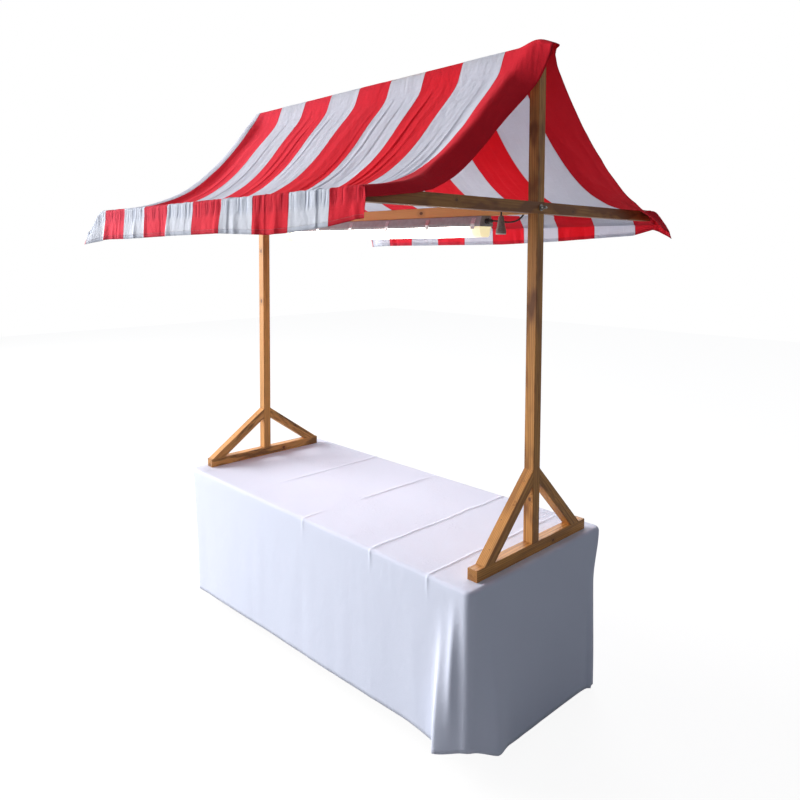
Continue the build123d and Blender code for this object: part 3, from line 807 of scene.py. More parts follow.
def canopy_columns():
    """Places along the ridge for the grid, closer together at each tuck."""
    lines = list(np.linspace(CANOPY_LEFT, CANOPY_RIGHT, CANOPY_COLUMNS))
    for place, *_ in TUCKS:
        lines += [STRIPE_START + STRIPE_WIDTH * place + offset for offset in TUCK_OFFSETS]
    kept = thinned(lines, LEAST_GAP)
    kept[-1] = CANOPY_RIGHT
    return np.array(kept)


def tuck_heights(columns, share, face):
    """Sharp steps down towards the right, along lines that run down the slope."""
    total = np.zeros(np.broadcast(columns, share).shape)
    for place, front, back, start, end in TUCKS:
        off = columns - STRIPE_START - STRIPE_WIDTH * place
        height = front if face == FRONT else back
        fade = smooth_step(start, start + TUCK_FADE, share) * smooth_step(end, end - TUCK_FADE, share)
        uneven = 0.75 + 0.35 * random_field(share * 5, place * 7, 19)
        total = total + height * fade * uneven * np.interp(off, TUCK_OFFSETS, TUCK_SHAPE)
    return total


# Seeds of the random folds on both faces, and sizes of the waves, gathers and folds
SLOPE_SEED = {FRONT: 11, BACK: 61}
GATHER_SEED = {FRONT: 23, BACK: 73}
FOLD_SEED = {FRONT: 37, BACK: 87}
WANDER_SEED = {FRONT: 29, BACK: 31}
WAVE_HEIGHT = 0.0075
WAVE_LENGTH = 0.17
FINE_HEIGHT = 0.0022
FINE_LENGTH = 0.05
SLANT_HEIGHT = 0.0030
SLANT_LENGTH = 0.06
PATCH_LENGTH = 0.16
GATHER_HEIGHT = 0.0042
GATHER_LENGTH = 0.036
FOLD_HEIGHT = 0.0078
FOLD_LENGTH = 0.105
SMALL_FOLD_LENGTH = 0.052
SHARP_FOLDS = 16
FOLD_LEAN = 0.012


def slope_wrinkles(u, share, face):
    """Height of soft waves and small crumples on a slope; share is 0 at the ridge and 1 at the eave."""
    seed = SLOPE_SEED[face]
    free = np.sin(pi * np.clip(share, 0, 1)) ** 0.6
    waves = WAVE_HEIGHT * random_field(u / WAVE_LENGTH + 3, share / 0.55 + 2, seed)
    wander = 0.25 * random_field(u / 0.5, share / 0.3, seed + 1)
    fine = FINE_HEIGHT * ridged_field(u / FINE_LENGTH + wander + share * 0.8, share / 0.55, seed + 2)
    slant = SLANT_HEIGHT * ridged_field(u / SLANT_LENGTH - share * 5, share / 0.13 + u / 0.6, seed + 3)
    patch = smooth_step(0.0, 0.5, random_field(u / PATCH_LENGTH + 5, share / 0.22 + 3, seed + 4))
    return free * (waves + fine + slant * patch * smooth_step(0.2, 0.5, share))


def eave_gathers(u, share, face):
    """Short tucks where the cloth is bunched on the eave pole."""
    seed = GATHER_SEED[face]
    wander = 0.4 * random_field(u / 0.2, 0.5, seed)
    tucks = ridged_field(u / GATHER_LENGTH + wander, share * 2.0, seed + 1)
    strength = 0.45 + 0.55 * smooth_step(-0.3, 0.5, random_field(u / 0.23 + 7, 0.5, seed + 2))
    return GATHER_HEIGHT * tucks * strength


def valance_folds(u, fall, face):
    """Hanging folds of the valance, deeper towards the hem; fall is 0 at the eave and 1 at the hem."""
    seed = FOLD_SEED[face]
    loose = smooth_step(0.15, 1.0, fall)
    folds = random_field(u / FOLD_LENGTH + 2, fall * 0.4, seed)
    folds = folds + 0.45 * random_field(u / SMALL_FOLD_LENGTH, fall * 0.5, seed + 1)
    chooser = np.random.default_rng(seed)
    for _ in range(SHARP_FOLDS):
        centre = chooser.uniform(-1.0, 0.97)
        narrow = chooser.uniform(0.010, 0.018)
        size = chooser.uniform(0.5, 1.3)
        folds = folds + size * np.exp(-np.abs((u - centre - FOLD_LEAN * fall) / narrow) ** 1.6)
    return FOLD_HEIGHT * loose * (folds + 0.75)


# How both ends turn down, at shares of the slope from the ridge to the eave; angles are degrees
TURN_SHARES = (0, 0.02, 0.04, 0.10, 0.35, 0.48, 0.60, 0.68, 0.73, 0.78, 0.86, 0.94, 1.0)
RIGHT_TURN_STARTS = {
    FRONT: (0.98, 0.968, 0.91, 0.860, 0.852, 0.852, 0.852, 0.872, 0.902, 0.932, 0.952, 0.955, 0.957),
    BACK: (0.97, 0.965, 0.955, 0.96, 0.975, 0.96, 0.925, 0.89, 0.88, 0.87, 0.86, 0.87, 0.90),
}
RIGHT_TURN_ANGLES = {
    FRONT: (2, 4, 32, 43, 45, 45, 44, 44, 54, 66, 78, 82, 82),
    BACK: (2, 4, 9, 12, 14, 14, 14, 14, 16, 18, 22, 36, 52),
}
RIGHT_EDGE_ANGLES = {
    FRONT: (2, 6, 36, 46, 48, 48, 47, 48, 62, 76, 84, 86, 86),
    BACK: (2, 6, 13, 16, 20, 20, 20, 22, 24, 27, 32, 50, 64),
}
RIGHT_ENDS = {
    FRONT: (1.045, 1.04, 1.03, 1.00, 0.964, 0.960, 0.960, 0.968, 0.985, 1.0, 1.008, 1.010, 1.010),
    BACK: (1.045, 1.040, 1.008, 0.992, 0.988, 0.988, 0.990, 0.992, 0.996, 1.003, 1.012, 1.03, 1.045),
}
END_TAPER = 0.88
END_FADE = 0.1
LEFT_TURN_ANGLES = (46, 50, 54, 58, 62, 62, 62, 60, 58, 56, 52, 46, 42)
LEFT_TURN = -0.983
TURN_WIDTH = 0.036
LIFT_SHARES = (0, 0.03, 0.13, 0.45, 0.75, 0.93, 1.0)
LIFT_AMOUNTS = (0, 0.12, 0.6, 1.0, 0.8, 0.3, 0)
RIGHT_LIFT = 0.022
RIGHT_LIFT_SPAN = (0.74, 0.865)
LEFT_LIFT = 0.030
LEFT_LIFT_SPAN = (-0.885, -0.985)
SHEAR = {FRONT: 0.018, BACK: 0.08}
SHEAR_POWER = 1.6
SEAM_SLACK = 0.018
SEAM_SLACK_WIDTH = 0.05
RIDGE_DIP = 0.036
RIDGE_CLEAR = 0.0005
MIDDLE_SAG = 0.022
MIDDLE_SPAN = 0.93
BEAK_RISE = 0.016
BEAK_RISE_SPAN = (0.87, 0.95)
BEAK_DROOP = 0.036
BEAK_DROOP_SPAN = (0.955, 1.08)
BEAK_DEPTH = 0.045
SAG_STRAIGHT_DOWN = 0.45
CORNER_FLARE = {(FRONT, -1): 0.030, (FRONT, 1): 0.004, (BACK, -1): 0.030, (BACK, 1): 0.018}
# Height of the valance's hem at places along the cloth
HEMS = {
    FRONT: [
        (-1.183, 2.012),
        (-0.98, 2.030),
        (-0.91, 2.036),
        (-0.695, 2.036),
        (-0.47, 2.040),
        (-0.25, 2.044),
        (0.16, 2.047),
        (0.39, 2.039),
        (0.47, 2.036),
        (0.61, 2.042),
        (0.81, 2.057),
        (0.95, 2.077),
        (1.045, 2.082),
    ],
    BACK: [
        (-1.183, 2.012),
        (-0.98, 2.018),
        (0.0, 2.022),
        (0.37, 2.037),
        (0.80, 2.062),
        (0.905, 2.089),
        (1.045, 2.044),
    ],
}
LEAST_HANG = 0.004


def cloth_places(columns, share, face):
    """Places along the flat cloth: columns that wander down the slope, and a right end cut in a curve."""
    wander = random_field(columns / 0.25 + 3, share * 2.4, WANDER_SEED[face])
    ends = smooth_step(CANOPY_LEFT, CANOPY_LEFT + END_FADE, columns)
    ends = ends * smooth_step(CANOPY_RIGHT, CANOPY_RIGHT - END_FADE, columns)
    u = columns + TUCK_WANDER * wander * ends * smooth_step(0, 0.15, share)
    end = np.interp(share, TURN_SHARES, RIGHT_ENDS[face])
    tapered = END_TAPER + (u - END_TAPER) * (end - END_TAPER) / (CANOPY_RIGHT - END_TAPER)
    return np.where(u > END_TAPER, tapered, u)


def cloth_rise(u, columns, share, fall, hanging, face):
    """How far the cloth stands off its section: lifted ends, wrinkles, tucks, gathers and folds."""
    tucks = tuck_heights(columns, share, face)
    lift = RIGHT_LIFT * smooth_step(*RIGHT_LIFT_SPAN, u) + LEFT_LIFT * smooth_step(*LEFT_LIFT_SPAN, u)
    lift = lift * np.interp(share, LIFT_SHARES, LIFT_AMOUNTS)
    rise = (slope_wrinkles(u, share, face) + tucks + lift) * (1 - hanging)
    rise = np.maximum(rise, -RIDGE_CLEAR - smooth_step(0.02, 0.06, share))
    near_eave = smooth_step(0.90, 0.99, share) * (1 - smooth_step(0.10, 0.70, fall))
    rise = rise + eave_gathers(u, share, face) * near_eave * (0.30 + 0.70 * hanging)
    return rise + (valance_folds(u, fall, face) + tucks) * hanging


def corner_flare(u, share, fall, face):
    """How far the eave's corners stand out from the stall."""
    flare = CORNER_FLARE[face, -1] * smooth_step(LEFT_TURN, CANOPY_LEFT, u)
    flare = flare + CORNER_FLARE[face, 1] * smooth_step(MIDDLE_SPAN, CANOPY_RIGHT, u)
    return flare * smooth_step(0.75, 1.0, share) * (0.5 + 0.5 * fall)


def half_points(section, face):
    """The points of the front or back half, row by row from the ridge to the hem, and their flat places."""
    along = canopy_rows(section)[:, None]
    columns = canopy_columns()[None, :]
    eave = section["eave"]
    share = np.clip(along / eave, 0, 1)
    fall = np.clip((along - eave) / (section["hem"] - eave), 0, 1)
    hanging = smooth_step(eave - EAVE_BLUR, eave + EAVE_BLUR, along)
    u = cloth_places(columns, share, face)
    depth = np.interp(along, section["along"], section["depth"])
    height = np.interp(along, section["along"], section["height"])
    normal_y = -np.interp(along, section["along"], np.gradient(section["height"], section["along"]))
    normal_z = np.interp(along, section["along"], np.gradient(section["depth"], section["along"]))

    sheared = SHEAR[face] * share**SHEAR_POWER
    x, droop = turned_down(u, end_angles(u, share, sheared, face))
    x = x + sheared
    if face == FRONT:
        slack = smooth_step(0.02, 0.3, share) * smooth_step(0.98, 0.7, share)
        x = x + SEAM_SLACK * slack * np.exp(-(((u - STRIPE_START) / SEAM_SLACK_WIDTH) ** 2))
    rise = cloth_rise(u, columns, share, fall, hanging, face)
    inward = (1 - SAG_STRAIGHT_DOWN) * (1 - hanging)
    flare = corner_flare(u, share, fall, face)
    y = face * (depth + normal_y * rise - normal_y * inward * droop + flare)
    z = height + normal_z * rise - (normal_z * inward + 1 - inward) * droop
    z = z + ridge_beak(u, share) - slope_sag(u, share, face)
    top = section["eave_z"] - droop
    hem = np.minimum(np.interp(u, *zip(*HEMS[face])), top - LEAST_HANG)
    z = np.where(fall > 0, top + (hem - top) * fall, z)
    points = np.stack(np.broadcast_arrays(x, y, z), axis=-1)
    flat = np.stack(np.broadcast_arrays(u, face * along), axis=-1)
    return points, flat


def end_angles(u, share, sheared, face):
    """How steeply the cloth falls towards its left and right end, outside the arms."""
    start = np.interp(share, TURN_SHARES, RIGHT_TURN_STARTS[face])
    first = np.radians(np.interp(share, TURN_SHARES, RIGHT_TURN_ANGLES[face]))
    last = np.radians(np.interp(share, TURN_SHARES, RIGHT_EDGE_ANGLES[face]))
    angle = first * smooth_step(start, start + TURN_WIDTH, u)
    angle = angle + (last - first) * smooth_step(start + TURN_WIDTH, CANOPY_RIGHT, u)
    left = np.radians(np.interp(share, TURN_SHARES, LEFT_TURN_ANGLES))
    return angle + left * smooth_step(LEFT_TURN, LEFT_TURN - TURN_WIDTH, u + sheared)


def turned_down(u, angle):
    """Each row laid out from the middle: its places along X and how far it has come down."""
    between = (angle[:, 1:] + angle[:, :-1]) / 2
    stride = np.diff(u, axis=1)
    start = np.zeros((len(u), 1))
    x = np.concatenate([start, np.cumsum(np.cos(between) * stride, axis=1)], axis=1)
    down = np.concatenate([start, np.cumsum(np.sin(between) * stride, axis=1)], axis=1)
    middle = int(np.argmin(np.abs(u[0])))
    centre = slice(middle, middle + 1)
    return x - x[:, centre] + u[:, centre], np.abs(down - down[:, centre])


def ridge_beak(u, share):
    """The right end of the ridge: a little raised, then drooping at its tip."""
    rise = BEAK_RISE * smooth_step(*BEAK_RISE_SPAN, u) - BEAK_DROOP * smooth_step(*BEAK_DROOP_SPAN, u)
    return rise * np.exp(-((share / BEAK_DEPTH) ** 2))


def slope_sag(u, share, face):
    """Sag between the arms, and the steep start below the ridge on the front."""
    span = np.clip(1 - (u / MIDDLE_SPAN) ** 2, 0, 1)
    sag = MIDDLE_SAG * span * np.sin(pi * np.clip((share - 0.2) / 0.75, 0, 1))
    if face == FRONT:
        steep = smooth_step(0.021, 0.085, share) * smooth_step(0.31, 0.06, share)
        sag = sag + RIDGE_DIP * (steep * smooth_step(-0.99, -0.86, u))
    return sag


def make_canopy(section, finish):
    """The canopy as one sheet from the front hem over the ridge to the back hem."""
    front, front_flat = half_points(section, FRONT)
    back, back_flat = half_points(section, BACK)
    points = np.concatenate([front[:0:-1], back])
    flat = np.concatenate([front_flat[:0:-1], back_flat])
    faces = grid_faces(*points.shape[:2])
    piece = mesh_object("canopy", points.reshape(-1, 3), faces, flat.reshape(-1, 2), finish)
    return thicken(piece, CANOPY_THICKNESS), {FRONT: front, BACK: back}


POCKET_END = 0.915
POCKET_COLUMNS = 150
POCKET_GAP = 0.003
POCKET_FLAT = 0.2
POCKET_PUCKER = 0.0014
PUCKER_SPACING = 0.04


def make_pockets(section, finish):
    """The inner strip of each pole pocket, sewn to the slope above and to the valance below."""
    points = []
    flat = []
    faces = []
    for face, name in ((FRONT, "front_eave_pole"), (BACK, "back_eave_pole")):
        low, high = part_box(name)
        inner = min(abs(low.y), abs(high.y)) - POCKET_GAP
        outer = section["depth"][-1]
        middle = (low.z + high.z) / 2
        seam = section["eave_z"] - POCKET_DEPTH
        top_y = inner - 3 * POCKET_GAP
        top_z = np.interp(top_y, section["depth"][:-1], section["height"][:-1])
        profile_y = np.array([outer, (outer + inner) / 2, inner, inner, top_y])
        profile_z = np.array([seam, (seam + low.z) / 2, low.z - POCKET_GAP, middle, top_z])
        u = np.linspace(-POCKET_END, POCKET_END, POCKET_COLUMNS)[None, :]
        steps = np.arange(len(profile_y))[:, None]
        pucker = POCKET_PUCKER * ridged_field(u / PUCKER_SPACING, steps * 0.3, 41)
        pucker = pucker * np.array([0, 1, 1, 1, 0])[:, None]
        y = face * (profile_y[:, None] - pucker - np.abs(pucker.min()))
        start = sum(len(part) for part in points)
        points.append(spread(u + SHEAR[face], y, profile_z[:, None]))
        down = face * (section["eave"] - POCKET_FLAT + profile_z[:, None] - seam)
        flat.append(spread(u, down))
        faces.append(start + grid_faces(len(profile_y), POCKET_COLUMNS))
    parts = [np.concatenate(part) for part in (points, faces, flat)]
    return thicken(mesh_object("pole_pockets", *parts, finish), CANOPY_THICKNESS)


# Table cloth

FINE_GRID = 0.009
CLOTH_LEAST_GAP = 0.0032
CREASE_OFFSETS = (-1.6, -0.8, 0, 0.8, 1.6)
RIM_INSETS = (0.006, 0.012, 0.018, 0.024)


def grid_lines(end, places, fine_from):
    """Grid lines from -end to end, closer together at creases, near the ends and past fine_from."""
    lines = list(np.linspace(-end, end, int(2 * end / CLOTH_GRID) + 1))
    lines += [place + offset * CREASE_WIDTH for place in places for offset in CREASE_OFFSETS]
    lines += [side * (end - inset) for side in (-1, 1) for inset in RIM_INSETS]
    lines += list(np.arange(fine_from[0], fine_from[1], FINE_GRID))
    kept = thinned([line for line in lines if abs(line) <= end], CLOTH_LEAST_GAP)
    kept[-1] = end
    return np.array(kept)


def round_corner(x, y, end_x, end_y, radius):
    """Moves the points of a rectangle's corners onto quarter discs."""
    a = np.clip((np.abs(x) - end_x + radius) / radius, 0, 1)
    b = np.clip((np.abs(y) - end_y + radius) / radius, 0, 1)
    corner = (a > 0) & (b > 0)
    round_x = np.sign(x) * (end_x - radius + radius * a * np.sqrt(1 - b * b / 2))
    round_y = np.sign(y) * (end_y - radius + radius * b * np.sqrt(1 - a * a / 2))
    return np.where(corner, round_x, x), np.where(corner, round_y, y)


def bell(distance, before, after, power=1.5):
    """A crest of height 1 with its own width before and after it."""
    width = np.where(distance < 0, before, after)
    return np.exp(-np.abs(distance / width) ** power)


def gap_round(around, place, total):
    """The signed way from a place to each point, the shorter way round the table."""
    return (around - place + total / 2) % total - total / 2


NEAR_FOLD = 1.893
# Folds of the hanging cloth: how each grows, its place round the table, height, widths and power
FOLDS = [
    ("deep", NEAR_FOLD, 0.053, 0.020, 0.070, 1.4),
    ("brief", 1.948, 0.014, 0.018, 0.018, 1.5),
    ("deep", 2.010, -0.014, 0.055, 0.050, 2),
    ("deep", 2.116, 0.050, 0.050, 0.100, 1.7),
    ("even", 2.855, 0.016, 0.014, 0.018, 1.5),
    ("even", 2.894, 0.012, 0.014, 0.018, 1.5),
    ("even", 2.99, 0.02, 0.014, 0.018, 1.5),
    ("even", 3.08, 0.016, 0.014, 0.018, 1.5),
    ("early", 2.924, -0.022, 0.06, 0.06, 2),
    ("deep", 4.936, -0.045, 0.05, 0.05, 2),
    ("deep", 4.80, 0.040, 0.04, 0.06, 1.5),
    ("deep", 5.06, 0.045, 0.04, 0.06, 1.5),
    ("deep", 5.70, 0.035, 0.04, 0.06, 1.5),
]
LOOSE_WAVES = 0.0032
SMALL_WAVES = 0.0007


def cloth_folds(around, total, fall):
    """How far the hanging cloth stands out round the table; fall is 0 at the top and 1 at the hem."""
    growth = {
        "deep": smooth_step(0.10, 1.0, fall),
        "brief": smooth_step(0.0, 0.4, fall) * smooth_step(1.0, 0.45, fall),
        "even": smooth_step(0.05, 0.9, fall),
        "early": smooth_step(0.0, 0.35, fall),
    }
    out = 0.0
    for kind, place, height, before, after, power in FOLDS:
        out = out + height * growth[kind] * bell(gap_round(around, place, total), before, after, power)
    out = out + LOOSE_WAVES * fall * random_field(around / 0.24, fall * 0.8, 3)
    return out + SMALL_WAVES * smooth_step(0, 0.4, fall) * random_field(around / 0.06, fall * 1.5, 4)


def corner_pull(around, total, fall):
    """How far the hem is drawn towards +X at the front left corner."""
    return LEFT_CORNER_PULL * fall**0.8 * bell(gap_round(around, 0, total), 0.35, 0.50, 1.5)


def hem_height(around, total):
    """The hem's height above the floor, eased between its listed places."""
    places, heights = zip(*HEM_HEIGHTS)
    return np.mean([np.interp((around + offset) % total, places, heights) for offset in HEM_EASE], axis=0)


def crease_height(x, y):
    """Standing press creases across the table, a little crooked and broken."""
    total = np.zeros(np.broadcast(x, y).shape)
    for index, place in enumerate(CREASE_PLACES):
        crooked = place + 0.004 * random_field(y / 0.09, index + 0.5, 8)
        broken = smooth_step(-0.75, 0.1, random_field(y / 0.22 + 4, index * 2 + 0.5, 9))
        total = total + CREASE_HEIGHTS[index] * broken * np.exp(-(((x - crooked) / CREASE_WIDTH) ** 2))
    return total


def rim_loop(rows, columns):
    """The border points of a grid in turn, from the front left corner along the front."""
    index = np.arange(rows * columns).reshape(rows, columns)
    return np.concatenate([index[0, :-1], index[:-1, -1], index[-1, :0:-1], index[:0:-1, 0]])


def place_round(ideal, outward, high):
    """How far round the table each rim point lies from the front left corner, and the whole way round."""
    length = 2 * high.x
    width = 2 * high.y
    total = 2 * (length + width)
    facings = (-outward[:, 1], outward[:, 0], outward[:, 1], -outward[:, 0])
    front, right, back, left = [np.clip(facing, 0, 1) ** 2 for facing in facings]
    at_start = (left > 0) & (front > 0)
    around = front * (ideal[:, 0] + high.x + at_start * total * (front < 0.5))
    around = around + right * (length + ideal[:, 1] + high.y)
    around = around + back * (length + width + high.x - ideal[:, 0])
    on_left = 2 * length + width + high.y - ideal[:, 1]
    around = around + left * (on_left - at_start * total * (front >= 0.5))
    return around, total


ROLL_STEPS = 6
FINE_RIGHT_FROM = 0.80
FINE_FRONT_TO = -0.20
TOP_INSET = 0.03
TOP_CRUMPLE = 0.0007
CREASE_REACH = 0.055
NEAR_PLEAT = -0.010


def cloth_rings(high, hem):
    """Rings of cloth below the rim: how far each stands out, its level, flat length and fall."""
    lower = high.z - CLOTH_ROLL
    rings = []
    for turn in np.radians(np.linspace(0, 90, ROLL_STEPS))[1:]:
        level = np.full(len(hem), high.z - CLOTH_ROLL * (1 - np.cos(turn)))
        rings.append((CLOTH_ROLL * np.sin(turn), level, np.full(len(hem), CLOTH_ROLL * turn), 0.0))
    for fall in np.linspace(0, 1, CLOTH_RINGS)[1:]:
        level = lower + (hem - lower) * fall
        rings.append((CLOTH_ROLL, level, CLOTH_ROLL * pi / 2 + (lower - level), fall))
    return rings


def make_table_cloth(finish):
    """The cloth as one sheet: flat on the board, rolled over its rim and hanging in folds."""
    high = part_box("cloth_top")[1]
    rim_x = high.x + CLOTH_EASE
    rim_y = high.y + CLOTH_EASE
    end_x = rim_x - CLOTH_ROLL
    end_y = rim_y - CLOTH_ROLL
    xs = grid_lines(end_x, CREASE_PLACES, (FINE_RIGHT_FROM, end_x))
    ys = grid_lines(end_y, (), (-end_y, FINE_FRONT_TO))
    x, y = round_corner(*np.meshgrid(xs, ys), end_x, end_y, CLOTH_CORNER - CLOTH_ROLL)
    inside = smooth_step(0, TOP_INSET, np.minimum(end_x - np.abs(x), end_y - np.abs(y)) + 0.012)
    z = high.z + crease_height(x, y) + TOP_CRUMPLE * inside * random_field(x / 0.08, y / 0.06, 14)
    points = [spread(x, y, z)]
    flat = [spread(x, y)]
    faces = [grid_faces(*x.shape)]

    loop = rim_loop(*x.shape)
    rim = points[0][loop]
    centre_x = np.clip(rim[:, 0], CLOTH_CORNER - rim_x, rim_x - CLOTH_CORNER)
    centre_y = np.clip(rim[:, 1], CLOTH_CORNER - rim_y, rim_y - CLOTH_CORNER)
    outward = np.stack([rim[:, 0] - centre_x, rim[:, 1] - centre_y], axis=-1)
    outward = outward / np.linalg.norm(outward, axis=1, keepdims=True)
    sideways = np.stack([-outward[:, 1], outward[:, 0]], axis=-1)
    around, total = place_round(rim[:, :2] + outward * CLOTH_ROLL, outward, high)
    ridge = crease_height(rim[:, 0], rim[:, 1])
    below = loop
    made = len(points[0])
    for out, level, travelled, fall in cloth_rings(high, hem_height(around, total)):
        depth = high.z - level
        stand = out + cloth_folds(around, total, np.full(len(loop), fall))
        stand = stand + ridge * np.exp(-((depth / CREASE_REACH) ** 2)) * np.abs(outward[:, 1])
        pleat = NEAR_PLEAT * fall * bell(gap_round(around, NEAR_FOLD, total), 0.03, 0.04)
        ring = rim[:, :2] + outward * stand[:, None] + sideways * pleat[:, None]
        ring[:, 0] += corner_pull(around, total, fall)
        points.append(np.column_stack([ring, level]))
        flat.append(rim[:, :2] + outward * travelled[:, None])
        here = made + np.arange(len(loop))
        faces.append(np.stack([below, here, np.roll(here, -1), np.roll(below, -1)], axis=1))
        below = here
        made += len(loop)
    parts = [np.concatenate(part) for part in (points, faces, flat)]
    return thicken(mesh_object("table_cloth", *parts, finish), CLOTH_THICKNESS)


# Lead and connector

BEVEL_STEPS = 6
CURVE_STEPS = 16
# The connector's face from its axis outwards: share of the radius, and height
CONNECTOR_FACE = [
    (0.0, 0.012),
    (0.30, 0.012),
    (0.32, 0.0045),
    (0.46, 0.0045),
    (0.48, 0.012),
    (0.74, 0.012),
    (0.76, 0.001),
    (0.80, 0.0),
    (0.95, 0.0),
    (1.0, 0.0016),
]
# Corners of one rib: share of its length, and outside or inside
RIB_CORNERS = ((0.10, 1), (0.45, 1), (0.58, -1), (0.90, -1))
CONNECTOR_SHARP = radians(38)
CONNECTOR_WAIST = 0.90
CONNECTOR_NECK = 0.48
CONNECTOR_COLLAR = 0.26


def make_lead(finish):
    """The lead as a round cord along its route."""
    curve = bpy.data.curves.new("lamp_lead_cord", "CURVE")
    curve.dimensions = "3D"
    curve.bevel_depth = LEAD_DIAMETER / 2
    curve.bevel_resolution = BEVEL_STEPS
    curve.resolution_u = CURVE_STEPS
    curve.use_fill_caps = True
    spline = curve.splines.new("NURBS")
    spline.points.add(len(LEAD_ROUTE) - 1)
    for point, place in zip(spline.points, LEAD_ROUTE):
        point.co = (*place, 1)
    spline.order_u = 3
    spline.use_endpoint_u = True
    curve.materials.append(finish)
    return linked("lamp_lead_cord", curve)


def connector_profile(face, length):
    """Radius and height along the connector: hollow face, collar, waist and ribbed cone."""
    waist = face * CONNECTOR_WAIST
    neck = face * CONNECTOR_NECK
    collar = length * CONNECTOR_COLLAR
    cone = length - collar
    profile = [(face * share, height) for share, height in CONNECTOR_FACE]
    profile += [(face, collar - 0.002), (face * 0.96, collar), (waist, collar + 0.0008)]
    for rib in range(CONNECTOR_RIBS):
        for part, out in RIB_CORNERS:
            share = (rib + part) / CONNECTOR_RIBS
            radius = waist + (neck - waist) * share + out * CONNECTOR_RIB_DEPTH / 2
            profile.append((radius, collar + cone * share))
    return profile + [(neck, length - 0.001), (neck * 0.8, length), (0.0, length)]


def make_connector(finish):
    """A turned rubber connector that hangs on the lead."""
    low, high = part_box("lead_connector")
    centre = (low + high) / 2
    turns = [2 * pi * index / CONNECTOR_SEGMENTS for index in range(CONNECTOR_SEGMENTS)]
    mesh = bmesh.new()
    rings = []
    for radius, height in connector_profile((high.x - low.x) / 2, high.z - low.z):
        spots = [Vector((centre.x, centre.y, low.z + height))]
        if radius > 0:
            spots = [spots[0] + Vector((radius * cos(turn), radius * sin(turn), 0)) for turn in turns]
        rings.append([mesh.verts.new(spot) for spot in spots])
    for inner, outer in zip(rings, rings[1:]):
        for index in range(CONNECTOR_SEGMENTS):
            after = index + 1
            corners = ((inner, index), (inner, after), (outer, after), (outer, index))
            quad = [ring[spot % len(ring)] for ring, spot in corners]
            mesh.faces.new(list(dict.fromkeys(quad)))
    bmesh.ops.recalc_face_normals(mesh, faces=mesh.faces)
    data = bpy.data.meshes.new("hanging_connector")
    mesh.to_mesh(data)
    mesh.free()
    data.polygons.foreach_set("use_smooth", [True] * len(data.polygons))
    data.set_sharp_from_angle(angle=CONNECTOR_SHARP)
    data.materials.append(finish)
    return linked("hanging_connector", data)


# Screws and stitches: one small piece repeated at many places

SCREW_SHARES = (0.13, 0.55, 0.84)
SCREW_ASIDE = 0.007
SCREW_PROUD = 0.0004
SCREW_SIZES = {"Head radius": 0.0042, "Head height": 0.0012, "Recess width": 0.0012}
SCREW_TOP = 0.72
SCREW_RECESS = 1.1
SCREW_SIDES = 20
STITCH_PROUD = 0.0009
STITCH_SIZES = {"Spacing": 0.0058, "Length": 0.0040, "Thread radius": 0.00024}
STITCH_SIDES = 6


def repeat_tree(name, sizes):
    """An empty tree that makes a mesh from a guide, with named sizes and a finish."""
    tree = bpy.data.node_groups.new(name, "GeometryNodeTree")
    tree.interface.new_socket("Geometry", in_out="INPUT", socket_type="NodeSocketGeometry")
    for label in sizes:
        tree.interface.new_socket(label, in_out="INPUT", socket_type="NodeSocketFloat")
    tree.interface.new_socket("Finish", in_out="INPUT", socket_type="NodeSocketMaterial")
    tree.interface.new_socket("Geometry", in_out="OUTPUT", socket_type="NodeSocketGeometry")
    nodes = Nodes(tree)
    return tree, nodes, nodes.add("NodeGroupInput").outputs


def give_copies(nodes, points, piece, along, finish):
    """Ends a tree with copies of a piece at points, turned along a direction, as one mesh."""
    turn = nodes.add("FunctionNodeAlignRotationToVector", {"Vector": along}, axis="Z")
    inputs = {"Points": points, "Instance": piece, "Rotation": turn.outputs["Rotation"]}
    spots = nodes.add("GeometryNodeInstanceOnPoints", inputs)
    real = nodes.add("GeometryNodeRealizeInstances", {"Geometry": spots.outputs[0]})
    dressed = nodes.add("GeometryNodeSetMaterial", {"Geometry": real.outputs[0], "Material": finish})
    nodes.add("NodeGroupOutput", {"Geometry": dressed.outputs[0]})


def made_by(name, guide, tree, values):
    """The mesh that a tree makes from a guide piece, as a plain piece of its own."""
    modifier = guide.modifiers.new("repeat", "NODES")
    modifier.node_group = tree
    for item in tree.interface.items_tree:
        if item.item_type == "SOCKET" and item.in_out == "INPUT" and item.name in values:
            modifier[item.identifier] = values[item.name]
    graph = bpy.context.evaluated_depsgraph_get()
    made = guide.evaluated_get(graph)
    mesh = bpy.data.meshes.new_from_object(made, preserve_all_data_layers=True, depsgraph=graph)
    mesh.name = name
    bpy.data.objects.remove(guide)
    return linked(name, mesh)


